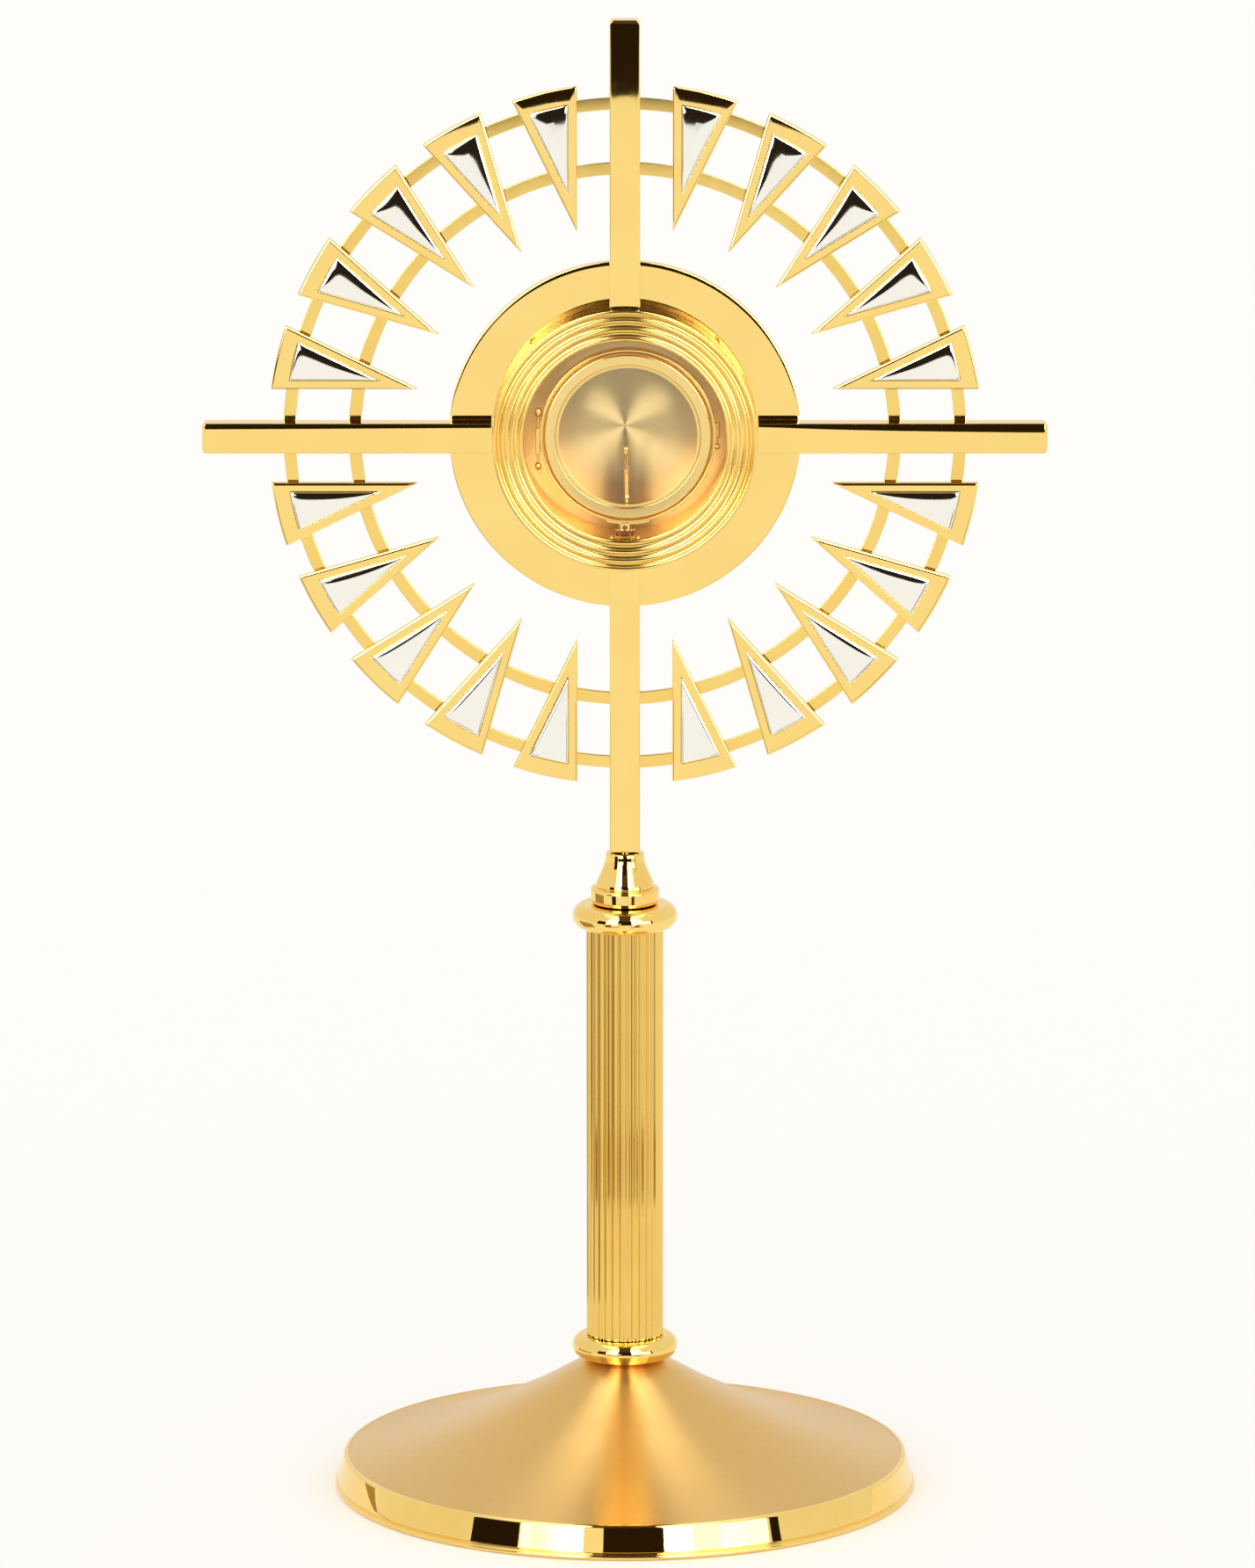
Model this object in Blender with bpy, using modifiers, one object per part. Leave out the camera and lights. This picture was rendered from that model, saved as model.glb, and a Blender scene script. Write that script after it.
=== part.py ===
"""A monstrance: a sunburst cross with a round case for the luna, on a fluted stem and a flared base.

Metres, +Z up. The origin is the centre of the base's underside, and the front faces -Y.
Pieces of the head are drawn flat, with local +Z towards the front, and stood up by a rotation.
Touching pieces keep a gap of GAP between them, and shapes that are joined sink into each other by SINK.
"""
from math import cos, pi, radians, sin, sqrt, tan

import bmesh
import bpy
from mathutils import Matrix, Vector

NAME = "monstrance"
GAP = 0.0003
SINK = 0.0010
ROUND_STEPS = 48
STEM_STEPS = 32
RING_STEPS = 72

# Head: a cross of four bars round a disc, all centred on this height.
HEAD_Z = 0.423
ARM_REACH = 0.165
ARM_WIDTH = 0.0119
ARM_FRONT = -0.0044
ARM_BACK = 0.0042
ARM_BEVEL = 0.0010
DISC_RADIUS = 0.0687
DISC_THICK = 0.0049
PLATE_FRONT = ARM_BACK + GAP

# Sunburst: wedge rays fixed to two flat rings.
RAY_TIP = 0.0828
RAY_END = 0.1394
RAY_HALF_ANGLE = radians(13)
RAY_THICK = 0.0032
RAY_SIDE_BAND = 0.0034
RAY_END_BAND = 0.0065
RAY_PITCH = radians(16)
RAYS_PER_QUADRANT = 5
INSERT_CROWN = 0.0013
INSERT_BEVEL = 0.0012
OUTER_RING = (0.1286, 0.1334)
INNER_RING = (0.1030, 0.1079)
RING_THICK = 0.0020

# Case for the luna: a drum through the disc, a beaded bezel with glass, and a rear door.
BEZEL_RADIUS = 0.0518
BEZEL_FRONT = -0.0095
BEZEL_GROOVES = (0.0429, 0.0463, 0.0497)
BEZEL_GROOVE_DEPTH = 0.0010
BEZEL_EDGE = 0.0008
APERTURE = 0.0396
GLASS_RADIUS = 0.0415
GLASS_FRONT = -0.0072
GLASS_THICK = 0.0012
DRUM_INNER = 0.0413
DRUM_OUTER = 0.0433
DRUM_BACK = 0.0230
FLANGE_RADIUS = 0.0475
FLANGE_THICK = 0.0035
DOOR_RADIUS = 0.0470
DOOR_THICK = 0.0025
DOOR_KNOB_X = 0.0280
KNOB_RADIUS = 0.0036
KNOB_THICK = 0.0040
KNOB_NECK_RADIUS = 0.0017
KNOB_NECK_LENGTH = 0.0032
LEAF_END = 0.0040
DOOR_FRONT = DRUM_BACK + GAP
DOOR_BACK = DOOR_FRONT + DOOR_THICK

# Door hinge, a vertical pin at the case's left, and the turn button that holds the door.
HINGE_X = -0.0505
HINGE_Y = 0.0265
KNUCKLE_RADIUS = 0.0026
KNUCKLE_HALF = 0.0050
LUG_LENGTH = 0.0045
HINGE_PIN_RADIUS = 0.0012
HINGE_PIN_STANDS_OUT = 0.0008
LATCH_X = 0.0515
LATCH_PIN_RADIUS = 0.0015
LATCH_BOSS_RADIUS = 0.0032
LATCH_HEAD_RADIUS = 0.0026
LATCH_HEAD_THICK = 0.0010
LATCH_LENGTH = 0.0140
LATCH_WIDTH = 0.0050
LATCH_THICK = 0.0018
LATCH_FRONT = DOOR_BACK + GAP

# Luna: a glazed ring on a foot that slides between two rails in the drum.
LUNA_X = 0.0012
LUNA_RADIUS = 0.0345
LUNA_OPENING = 0.0271
LUNA_DEPTH = 0.0070
LUNA_EDGE = 0.0010
LUNA_LIP = 0.0020
LUNA_SEAT = 0.0310
LUNA_GLASS_THICK = 0.0014
FOOT_WIDTH = 0.0038
FOOT_FRONT = 0.0010
FOOT_BACK = 0.0060
RAIL_WIDTH = 0.0017
RAIL_TOP = 0.0370
RAIL_FRONT = 0.0015
RAIL_BACK = 0.0215

# Stem: collar, fluted column, knop and cup, all threaded on one rod.
BORE = 0.0033
ROD_RADIUS = 0.0030
COLLAR_Z = 0.0570
COLLAR_CENTRE = 0.0164
COLLAR_MINOR = 0.0044
KNOP_Z = 0.2315
KNOP_CENTRE = 0.0159
KNOP_MINOR = 0.0048
COLUMN_RADIUS = 0.0151
COLUMN_BORE = 0.0120
FLUTES = 30
FLUTE_DEPTH = 0.0005
CUP_TOP = 0.2570
CUP_OUTLINE = (
    (0.0066, CUP_TOP),
    (0.0073, 0.2565),
    (0.0076, 0.2557),
    (0.0078, 0.2535),
    (0.0086, 0.2510),
    (0.0099, 0.2478),
    (0.0112, 0.2450),
    (0.0115, 0.2437),
    (0.0113, 0.2430),
    (0.0127, 0.2430),
    (0.0135, 0.2422),
    (0.0135, 0.2385),
)
TANG_RADIUS = 0.0030
TANG_LENGTH = 0.0150
WASHER_RADIUS = 0.0110
WASHER_THICK = 0.0015
NUT_RADIUS = 0.0062
NUT_HEIGHT = 0.0058

# Base: a flared shell that stands on its rim, open underneath.
BASE_RADIUS = 0.1149
BASE_TOP = COLLAR_Z - COLLAR_MINOR - GAP
BASE_WALL = 0.0022
BASE_CEILING = BASE_TOP - 0.0036
BASE_NECK = 0.0142
BASE_SLOPE = (
    (0.0165, 0.0510),
    (0.0200, 0.0490),
    (0.0250, 0.0461),
    (0.0320, 0.0419),
    (0.0400, 0.0376),
    (0.0500, 0.0328),
    (0.0620, 0.0273),
    (0.0780, 0.0212),
    (0.0940, 0.0166),
    (0.1080, 0.0136),
)
BASE_RIM = (
    (0.1107, 0.0132),
    (0.1115, 0.0124),
    (0.1127, 0.0080),
    (0.1139, 0.0034),
    (0.1137, 0.0026),
    (BASE_RADIUS, 0.0018),
    (BASE_RADIUS, 0.0006),
    (0.1143, 0.0000),
)
RIM_INSIDE = (
    (0.1116, 0.0000),
    (0.1116, 0.0024),
    (0.1094, 0.0102),
)

GOLD = (0.92, 0.70, 0.30)
BRUSHED = (0.85, 0.65, 0.33)
SILVER = (0.90, 0.89, 0.85)
GLASS = (0.95, 0.97, 0.98)

parts = bpy.data.collections.new(NAME)
cutters = bpy.data.collections.new(NAME + "_cutters")


def clear_scene():
    for obj in list(bpy.data.objects):
        bpy.data.objects.remove(obj, do_unlink=True)
    bpy.context.scene.collection.children.link(parts)
    bpy.context.scene.collection.children.link(cutters)


def finish_material(name, color, roughness, metallic=1.0, alpha=1.0):
    material = bpy.data.materials.new(name)
    material.use_nodes = True
    shader = material.node_tree.nodes["Principled BSDF"]
    shader.inputs["Base Color"].default_value = (*color, 1.0)
    shader.inputs["Roughness"].default_value = roughness
    shader.inputs["Metallic"].default_value = metallic
    shader.inputs["Alpha"].default_value = alpha
    return material


def add_part(name, mesh, color, roughness=0.15, metallic=1.0, alpha=1.0):
    """Link a part, with a material of its own on its object and not on its mesh, which may be shared."""
    if not mesh.materials:
        mesh.materials.append(None)
    obj = bpy.data.objects.new(name, mesh)
    obj.material_slots[0].link = "OBJECT"
    obj.material_slots[0].material = finish_material(name, color, roughness, metallic, alpha)
    parts.objects.link(obj)
    return obj


def add_cutter(name, mesh):
    obj = bpy.data.objects.new(name, mesh)
    obj.hide_render = True
    obj.display_type = "WIRE"
    cutters.objects.link(obj)
    return obj


def combine(target, tool_mesh, label, operation="UNION"):
    """Join or cut the target with a tool mesh that is drawn in place, in world coordinates."""
    tool = add_cutter(target.name + "_" + label, tool_mesh)
    modifier = target.modifiers.new(label, "BOOLEAN")
    modifier.operation = operation
    modifier.solver = "EXACT"
    modifier.object = tool


def stand_up(obj, angle=0.0):
    """Turn a flat piece to face the front, at the head's centre, turned by angle from +X towards +Z."""
    obj.rotation_euler = (radians(90), -angle, 0.0)
    obj.location = (0.0, 0.0, HEAD_Z)


def outline_mesh(name, outlines, closed=True):
    """Edges only, in the XZ plane, for a Screw modifier."""
    mesh = bpy.data.meshes.new(name)
    points = [(r, 0.0, z) for r, z in outlines]
    last = len(points) if closed else len(points) - 1
    edges = [(i, (i + 1) % len(points)) for i in range(last)]
    mesh.from_pydata(points, edges, [])
    return mesh


def turned_part(name, profile, color, steps=ROUND_STEPS, closed=True, **finish):
    """A solid of revolution about local Z. The profile runs down the outer side and back up the inner one."""
    obj = add_part(name, outline_mesh(name, profile, closed), color, **finish)
    screw = obj.modifiers.new("turn", "SCREW")
    screw.axis = "Z"
    screw.angle = 2 * pi
    screw.steps = steps
    screw.render_steps = steps
    screw.use_merge_vertices = True
    screw.merge_threshold = 0.00001
    screw.use_smooth_shade = True
    return obj


def flat_mesh(name, outlines, low, high):
    """A plate in the XY plane between two heights. The first outline is its edge and the others are holes."""
    curve = bpy.data.curves.new(name, "CURVE")
    curve.dimensions = "2D"
    curve.fill_mode = "BOTH"
    curve.extrude = (high - low) / 2
    for outline in outlines:
        spline = curve.splines.new("POLY")
        spline.points.add(len(outline) - 1)
        for point, (x, y) in zip(spline.points, outline):
            point.co = (x, y, 0.0, 1.0)
        spline.use_cyclic_u = True
    source = bpy.data.objects.new(name, curve)
    bpy.context.scene.collection.objects.link(source)
    bpy.context.view_layer.update()
    evaluated = source.evaluated_get(bpy.context.evaluated_depsgraph_get())
    mesh = bpy.data.meshes.new_from_object(evaluated)
    bpy.data.objects.remove(source, do_unlink=True)
    shape = bmesh.new()
    shape.from_mesh(mesh)
    bmesh.ops.remove_doubles(shape, verts=shape.verts, dist=0.00001)
    bmesh.ops.translate(shape, verts=shape.verts, vec=(0.0, 0.0, (low + high) / 2))
    bmesh.ops.recalc_face_normals(shape, faces=shape.faces)
    shape.to_mesh(mesh)
    shape.free()
    return mesh


def box_mesh(name, low, high):
    """A box between two corners."""
    low = Vector(low)
    high = Vector(high)
    shape = bmesh.new()
    bmesh.ops.create_cube(shape, size=1.0)
    bmesh.ops.scale(shape, verts=shape.verts, vec=high - low)
    bmesh.ops.translate(shape, verts=shape.verts, vec=(low + high) / 2)
    mesh = bpy.data.meshes.new(name)
    shape.to_mesh(mesh)
    shape.free()
    return mesh


def rod_mesh(name, start, end, radius, sides=20):
    """A cylinder between two points."""
    start = Vector(start)
    end = Vector(end)
    turn = Vector((0.0, 0.0, 1.0)).rotation_difference(end - start).to_matrix().to_4x4()
    shape = bmesh.new()
    bmesh.ops.create_cone(
        shape,
        cap_ends=True,
        segments=sides,
        radius1=radius,
        radius2=radius,
        depth=(end - start).length,
        matrix=Matrix.Translation((start + end) / 2) @ turn,
    )
    mesh = bpy.data.meshes.new(name)
    shape.to_mesh(mesh)
    shape.free()
    return mesh


def arc(centre, radius, start, end, count):
    """Points on an arc, in degrees, both ends included."""
    angles = [radians(start + (end - start) * i / (count - 1)) for i in range(count)]
    return [(centre[0] + radius * cos(a), centre[1] + radius * sin(a)) for a in angles]


def ring_profile(inner, outer, front, back):
    """A square section for a flat ring of the head, by its world depths front and back."""
    return [(inner, -front), (outer, -front), (outer, -back), (inner, -back)]


def build_base():
    """The flared shell: its outer slope and rim, then its underside back up to the bore."""
    profile = [(BORE, BASE_TOP), (BASE_NECK, BASE_TOP)]
    profile += BASE_SLOPE + BASE_RIM + RIM_INSIDE
    profile += [(r, z - BASE_WALL) for r, z in reversed(BASE_SLOPE)]
    profile.append((BORE, BASE_CEILING))
    turned_part("base_shell", profile, BRUSHED, roughness=0.32)


def build_bead(name, centre, minor, height):
    """A half-round ring with flat top and bottom, bored for the rod."""
    profile = [(BORE, height + minor)]
    profile += arc((centre, height), minor, 90, -90, 9)
    profile.append((BORE, height - minor))
    turned_part(name, profile, GOLD, steps=STEM_STEPS)


def build_column():
    """A tube with FLUTES shallow grooves, each with a flat floor and a narrow land beside it."""
    low = COLLAR_Z + COLLAR_MINOR + GAP
    high = KNOP_Z - KNOP_MINOR - GAP
    section = []
    for i in range(FLUTES):
        for part, depth in ((0.00, 0.0), (0.28, 0.0), (0.48, FLUTE_DEPTH), (0.80, FLUTE_DEPTH)):
            turn = 2 * pi * (i + part) / FLUTES
            radius = COLUMN_RADIUS - depth
            section.append((radius * cos(turn), radius * sin(turn)))
    bore = arc((0.0, 0.0), COLUMN_BORE, 0, 345, 24)
    add_part("column", flat_mesh("column", [section, bore], low, high), GOLD, roughness=0.25)


def build_cup():
    """The step ring and concave cone that carry the cross."""
    bottom = KNOP_Z + KNOP_MINOR + GAP
    profile = [(BORE, CUP_TOP)]
    profile += CUP_OUTLINE
    profile += [(0.0131, bottom), (BORE, bottom)]
    turned_part("stem_cup", profile, GOLD, steps=STEM_STEPS)


def build_tie_rod():
    """The rod through the stem, with its nut and washer under the base and its end inside the cup."""
    top = CUP_TOP - TANG_LENGTH
    washer_top = BASE_CEILING - GAP
    washer_bottom = washer_top - WASHER_THICK
    nut_bottom = washer_bottom - NUT_HEIGHT
    rod_bottom = nut_bottom - ROD_RADIUS
    profile = [
        (0.0, top),
        (ROD_RADIUS, top),
        (ROD_RADIUS, washer_top),
        (WASHER_RADIUS, washer_top),
        (WASHER_RADIUS, washer_bottom),
        (NUT_RADIUS, washer_bottom),
        (NUT_RADIUS, nut_bottom),
        (ROD_RADIUS, nut_bottom),
        (ROD_RADIUS, rod_bottom),
        (0.0, rod_bottom),
    ]
    turned_part("tie_rod", profile, SILVER, steps=12, closed=False, roughness=0.3)


def build_arms():
    """Four bars of one section. The lower one stands on the cup and has a round tang in its bore."""
    inner = BEZEL_RADIUS + GAP
    lower_reach = HEAD_Z - CUP_TOP - GAP
    half = ARM_WIDTH / 2
    free = box_mesh("arm", (inner, -half, -ARM_BACK), (ARM_REACH, half, -ARM_FRONT))
    foot = box_mesh("lower_arm", (inner, -half, -ARM_BACK), (lower_reach, half, -ARM_FRONT))
    for name, mesh, angle in (
        ("right_arm", free, 0),
        ("upper_arm", free, 90),
        ("left_arm", free, 180),
        ("lower_arm", foot, 270),
    ):
        arm = add_part(name, mesh, GOLD)
        bevel = arm.modifiers.new("edges", "BEVEL")
        bevel.width = ARM_BEVEL
        bevel.segments = 2
        stand_up(arm, radians(angle))
    arm_foot = CUP_TOP + GAP
    tang = rod_mesh("tang", (0, 0, arm_foot + SINK), (0, 0, arm_foot - TANG_LENGTH), TANG_RADIUS, 12)
    combine(bpy.data.objects["lower_arm"], tang, "tang")


def wedge(tip, end, points):
    """A wedge outline: its tip, then its curved outer edge, for sides at RAY_HALF_ANGLE to its middle."""
    slope = tan(RAY_HALF_ANGLE)
    square = 1 + slope * slope
    reach = (slope * slope * tip + sqrt(square * end * end - slope * slope * tip * tip)) / square
    half = (reach - tip) * slope
    outline = [(tip, 0.0)]
    for i in range(points):
        side = half * (2 * i / (points - 1) - 1)
        outline.append((sqrt(end * end - side * side), side))
    return outline


def ray_angles():
    """The rays' directions: five in each quadrant, spaced evenly about its diagonal."""
    middle = (RAYS_PER_QUADRANT - 1) / 2
    return [
        radians(45 + 90 * quadrant) + RAY_PITCH * (i - middle)
        for quadrant in range(4)
        for i in range(RAYS_PER_QUADRANT)
    ]


def build_rays():
    """Each ray is a gold wedge with a window, and a bevelled silver insert stands proud in the window."""
    window_tip = RAY_TIP + RAY_SIDE_BAND / sin(RAY_HALF_ANGLE)
    window_end = RAY_END - RAY_END_BAND
    insert_tip = window_tip + GAP / sin(RAY_HALF_ANGLE)
    back = -ARM_BACK
    front = back + RAY_THICK
    frame = [wedge(RAY_TIP, RAY_END, 6), wedge(window_tip, window_end, 5)]
    ray_mesh = flat_mesh("ray", frame, back, front)
    insert_outline = wedge(insert_tip, window_end - GAP, 5)
    insert_mesh = flat_mesh("ray_insert", [insert_outline], back, front + INSERT_CROWN)
    crown_insert(insert_mesh, front + INSERT_CROWN)
    for number, angle in enumerate(ray_angles(), start=1):
        stand_up(add_part(f"ray_{number:02d}", ray_mesh, GOLD, roughness=0.2), angle)
        insert = add_part(f"ray_insert_{number:02d}", insert_mesh, SILVER, roughness=0.1)
        stand_up(insert, angle)


def crown_insert(mesh, front):
    """Pull the front outline in and down, so that the insert's face is a low raised panel."""
    face_level = front - INSERT_CROWN / 2
    shape = bmesh.new()
    shape.from_mesh(mesh)
    faces = [f for f in shape.faces if all(v.co.z > face_level for v in f.verts)]
    bmesh.ops.inset_region(shape, faces=faces, thickness=INSERT_BEVEL, use_even_offset=True)
    raised = {v for f in faces for v in f.verts}
    for vert in shape.verts:
        if vert.co.z > face_level and vert not in raised:
            vert.co.z -= INSERT_CROWN
    shape.to_mesh(mesh)
    shape.free()


def build_rings():
    """Two flat rings behind the rays and arms."""
    back = PLATE_FRONT + RING_THICK
    for name, (inner, outer) in (("outer_ring", OUTER_RING), ("inner_ring", INNER_RING)):
        profile = ring_profile(inner, outer, PLATE_FRONT, back)
        stand_up(turned_part(name, profile, GOLD, steps=RING_STEPS, roughness=0.25))


def build_disc():
    """The plate behind the cross, with its hole for the drum."""
    profile = ring_profile(DRUM_OUTER + GAP, DISC_RADIUS, PLATE_FRONT, PLATE_FRONT + DISC_THICK)
    stand_up(turned_part("disc_plate", profile, GOLD))


def build_bezel():
    """The beaded ring on the disc's front, recessed behind for the glass and the end of the drum."""
    top = -BEZEL_FRONT
    floor = top - BEZEL_GROOVE_DEPTH
    glass_seat = -GLASS_FRONT + GAP
    drum_stop = -GLASS_FRONT - GLASS_THICK - GAP
    profile = [(APERTURE, top - BEZEL_EDGE), (APERTURE + BEZEL_EDGE, top)]
    for groove in BEZEL_GROOVES:
        profile += [(groove - BEZEL_EDGE, top), (groove, floor), (groove + BEZEL_EDGE, top)]
    profile += [(BEZEL_RADIUS - BEZEL_EDGE, top), (BEZEL_RADIUS, top - BEZEL_EDGE)]
    profile += [(BEZEL_RADIUS, -ARM_BACK), (DRUM_OUTER + GAP, -ARM_BACK)]
    profile += [(DRUM_OUTER + GAP, drum_stop), (GLASS_RADIUS + GAP, drum_stop)]
    profile += [(GLASS_RADIUS + GAP, glass_seat), (APERTURE, glass_seat)]
    stand_up(turned_part("front_bezel", profile, GOLD))


def glass_disc(name, radius, front, thick, x=0.0):
    """A flat round pane of the head."""
    profile = [(0.0, -front), (radius, -front), (radius, -front - thick), (0.0, -front - thick)]
    pane = turned_part(name, profile, GLASS, steps=32, closed=False, roughness=0.02, metallic=0.0, alpha=0.3)
    stand_up(pane)
    pane.location.x = x


def build_drum():
    """The case's wall and rear flange, with the luna's rails, the hinge lugs and the latch's ear."""
    front = GLASS_FRONT + GLASS_THICK + GAP
    flange_front = DRUM_BACK - FLANGE_THICK
    profile = [
        (DRUM_INNER, -front),
        (DRUM_OUTER, -front),
        (DRUM_OUTER, -flange_front),
        (FLANGE_RADIUS, -flange_front),
        (FLANGE_RADIUS, -DRUM_BACK),
        (DRUM_INNER, -DRUM_BACK),
    ]
    drum = turned_part("case_drum", profile, GOLD)
    stand_up(drum)
    rail_inner = FOOT_WIDTH / 2 + GAP
    for label, side in (("rail_left", -1), ("rail_right", 1)):
        edges = sorted((side * rail_inner, side * (rail_inner + RAIL_WIDTH)))
        low = (edges[0], RAIL_FRONT, HEAD_Z - DRUM_INNER - SINK)
        high = (edges[1], RAIL_BACK, HEAD_Z - RAIL_TOP)
        combine(drum, box_mesh(label, low, high), label)
    add_hinge_lugs(drum, flange_front)
    add_latch_ear(drum, flange_front)


def add_hinge_lugs(drum, flange_front):
    """Two lugs on the flange's left, with one pin through both."""
    near = KNUCKLE_HALF + GAP
    far = near + LUG_LENGTH
    for label, side in (("lug_top", 1), ("lug_bottom", -1)):
        heights = sorted((HEAD_Z + side * near, HEAD_Z + side * far))
        web_low = (HINGE_X - KNUCKLE_RADIUS, flange_front, heights[0])
        web_high = (-FLANGE_RADIUS - GAP, HINGE_Y, heights[1])
        tie_low = (HINGE_X, flange_front, heights[0])
        tie_high = (SINK - FLANGE_RADIUS, DRUM_BACK, heights[1])
        combine(drum, box_mesh(label + "_web", web_low, web_high), label + "_web")
        combine(drum, box_mesh(label + "_tie", tie_low, tie_high), label + "_tie")
        barrel_ends = (HINGE_X, HINGE_Y, heights[0]), (HINGE_X, HINGE_Y, heights[1])
        combine(drum, rod_mesh(label, *barrel_ends, KNUCKLE_RADIUS), label)
    reach = far + HINGE_PIN_STANDS_OUT
    pin_ends = (HINGE_X, HINGE_Y, HEAD_Z - reach), (HINGE_X, HINGE_Y, HEAD_Z + reach)
    combine(drum, rod_mesh("hinge_pin", *pin_ends, HINGE_PIN_RADIUS, 12), "hinge_pin")


def add_latch_ear(drum, flange_front):
    """An ear on the flange's right, with the headed pin that the latch turns on."""
    half = LATCH_BOSS_RADIUS
    low = (FLANGE_RADIUS - 2 * SINK, flange_front, HEAD_Z - half)
    high = (LATCH_X, DRUM_BACK, HEAD_Z + half)
    combine(drum, box_mesh("ear", low, high), "ear")
    ear_end = rod_mesh("ear_end", (LATCH_X, flange_front, HEAD_Z), (LATCH_X, DRUM_BACK, HEAD_Z), half, 24)
    combine(drum, ear_end, "ear_end")
    head_front = LATCH_FRONT + LATCH_THICK + GAP
    head_back = head_front + LATCH_HEAD_THICK
    stem_ends = (LATCH_X, DRUM_BACK - SINK, HEAD_Z), (LATCH_X, head_back - GAP, HEAD_Z)
    combine(drum, rod_mesh("latch_pin", *stem_ends, LATCH_PIN_RADIUS, 16), "latch_pin")
    head_ends = (LATCH_X, head_front, HEAD_Z), (LATCH_X, head_back, HEAD_Z)
    head = rod_mesh("pin_head", *head_ends, LATCH_HEAD_RADIUS, 16)
    combine(drum, head, "pin_head")


def build_door():
    """A round plate with its knuckle, leaf and pull knob."""
    door = turned_part(
        "door",
        [(0.0, -DOOR_FRONT), (DOOR_RADIUS, -DOOR_FRONT), (DOOR_RADIUS, -DOOR_BACK), (0.0, -DOOR_BACK)],
        BRUSHED,
        closed=False,
        roughness=0.3,
    )
    pivot = bpy.data.objects.new("door_pivot", None)
    pivot.location = (HINGE_X, HINGE_Y, HEAD_Z)
    parts.objects.link(pivot)
    stand_up(door)
    door.parent = pivot
    door.location = (-HINGE_X, -HINGE_Y, 0.0)
    leaf_low = (HINGE_X, DOOR_FRONT + SINK, HEAD_Z - KNUCKLE_HALF)
    leaf_high = (LEAF_END - DOOR_RADIUS, HINGE_Y, HEAD_Z + KNUCKLE_HALF)
    combine(door, box_mesh("leaf", leaf_low, leaf_high), "leaf")
    ends = (HINGE_X, HINGE_Y, HEAD_Z - KNUCKLE_HALF), (HINGE_X, HINGE_Y, HEAD_Z + KNUCKLE_HALF)
    combine(door, rod_mesh("knuckle", *ends, KNUCKLE_RADIUS), "knuckle")
    bore_half = KNUCKLE_HALF + SINK
    bore_ends = (HINGE_X, HINGE_Y, HEAD_Z - bore_half), (HINGE_X, HINGE_Y, HEAD_Z + bore_half)
    combine(door, rod_mesh("bore", *bore_ends, HINGE_PIN_RADIUS + GAP, 16), "bore", "DIFFERENCE")
    knob_front = DOOR_BACK + KNOB_NECK_LENGTH
    neck_ends = (DOOR_KNOB_X, DOOR_BACK - SINK, HEAD_Z), (DOOR_KNOB_X, knob_front + SINK, HEAD_Z)
    combine(door, rod_mesh("knob_neck", *neck_ends, KNOB_NECK_RADIUS, 16), "knob_neck")
    knob_ends = (DOOR_KNOB_X, knob_front, HEAD_Z), (DOOR_KNOB_X, knob_front + KNOB_THICK, HEAD_Z)
    combine(door, rod_mesh("knob", *knob_ends, KNOB_RADIUS, 24), "knob")


def build_latch():
    """The turn button: a boss on the ear's pin and a lever that points up when the door is free."""
    boss_front = DRUM_BACK + GAP
    lever_back = LATCH_FRONT + LATCH_THICK
    pivot = bpy.data.objects.new("latch_pivot", None)
    pivot.location = (LATCH_X, LATCH_FRONT, HEAD_Z)
    parts.objects.link(pivot)
    boss = rod_mesh("latch", (0, boss_front - LATCH_FRONT, 0), (0, LATCH_THICK, 0), LATCH_BOSS_RADIUS, 24)
    latch = add_part("latch", boss, GOLD)
    latch.parent = pivot
    half = LATCH_WIDTH / 2
    low = (LATCH_X - half, LATCH_FRONT, HEAD_Z)
    high = (LATCH_X + half, lever_back, HEAD_Z + LATCH_LENGTH)
    combine(latch, box_mesh("lever", low, high), "lever")
    bore_ends = (LATCH_X, boss_front - SINK, HEAD_Z), (LATCH_X, lever_back + SINK, HEAD_Z)
    combine(latch, rod_mesh("latch_bore", *bore_ends, LATCH_PIN_RADIUS + GAP, 16), "bore", "DIFFERENCE")


def build_luna():
    """The ring that holds the host, with its glass and the foot that stands between the drum's rails."""
    profile = [
        (LUNA_OPENING, 0.0),
        (LUNA_RADIUS - LUNA_EDGE, 0.0),
        (LUNA_RADIUS, -LUNA_EDGE),
        (LUNA_RADIUS, LUNA_EDGE - LUNA_DEPTH),
        (LUNA_RADIUS - LUNA_EDGE, -LUNA_DEPTH),
        (LUNA_SEAT, -LUNA_DEPTH),
        (LUNA_SEAT, -LUNA_LIP),
        (LUNA_OPENING, -LUNA_LIP),
    ]
    luna = turned_part("luna_ring", profile, GOLD)
    stand_up(luna)
    luna.location.x = LUNA_X
    foot_low = (-FOOT_WIDTH / 2, FOOT_FRONT, HEAD_Z - DRUM_INNER + 2 * GAP)
    foot_high = (FOOT_WIDTH / 2, FOOT_BACK, HEAD_Z - LUNA_RADIUS + SINK)
    combine(luna, box_mesh("foot", foot_low, foot_high), "foot")
    glass_disc("luna_glass", LUNA_SEAT - GAP, LUNA_LIP + GAP, LUNA_GLASS_THICK, LUNA_X)


def main():
    clear_scene()
    build_base()
    build_bead("lower_collar", COLLAR_CENTRE, COLLAR_MINOR, COLLAR_Z)
    build_column()
    build_bead("knop", KNOP_CENTRE, KNOP_MINOR, KNOP_Z)
    build_cup()
    build_tie_rod()
    build_arms()
    build_rings()
    build_rays()
    build_disc()
    build_bezel()
    glass_disc("front_glass", GLASS_RADIUS, GLASS_FRONT, GLASS_THICK)
    build_drum()
    build_door()
    build_latch()
    build_luna()


main()
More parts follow.
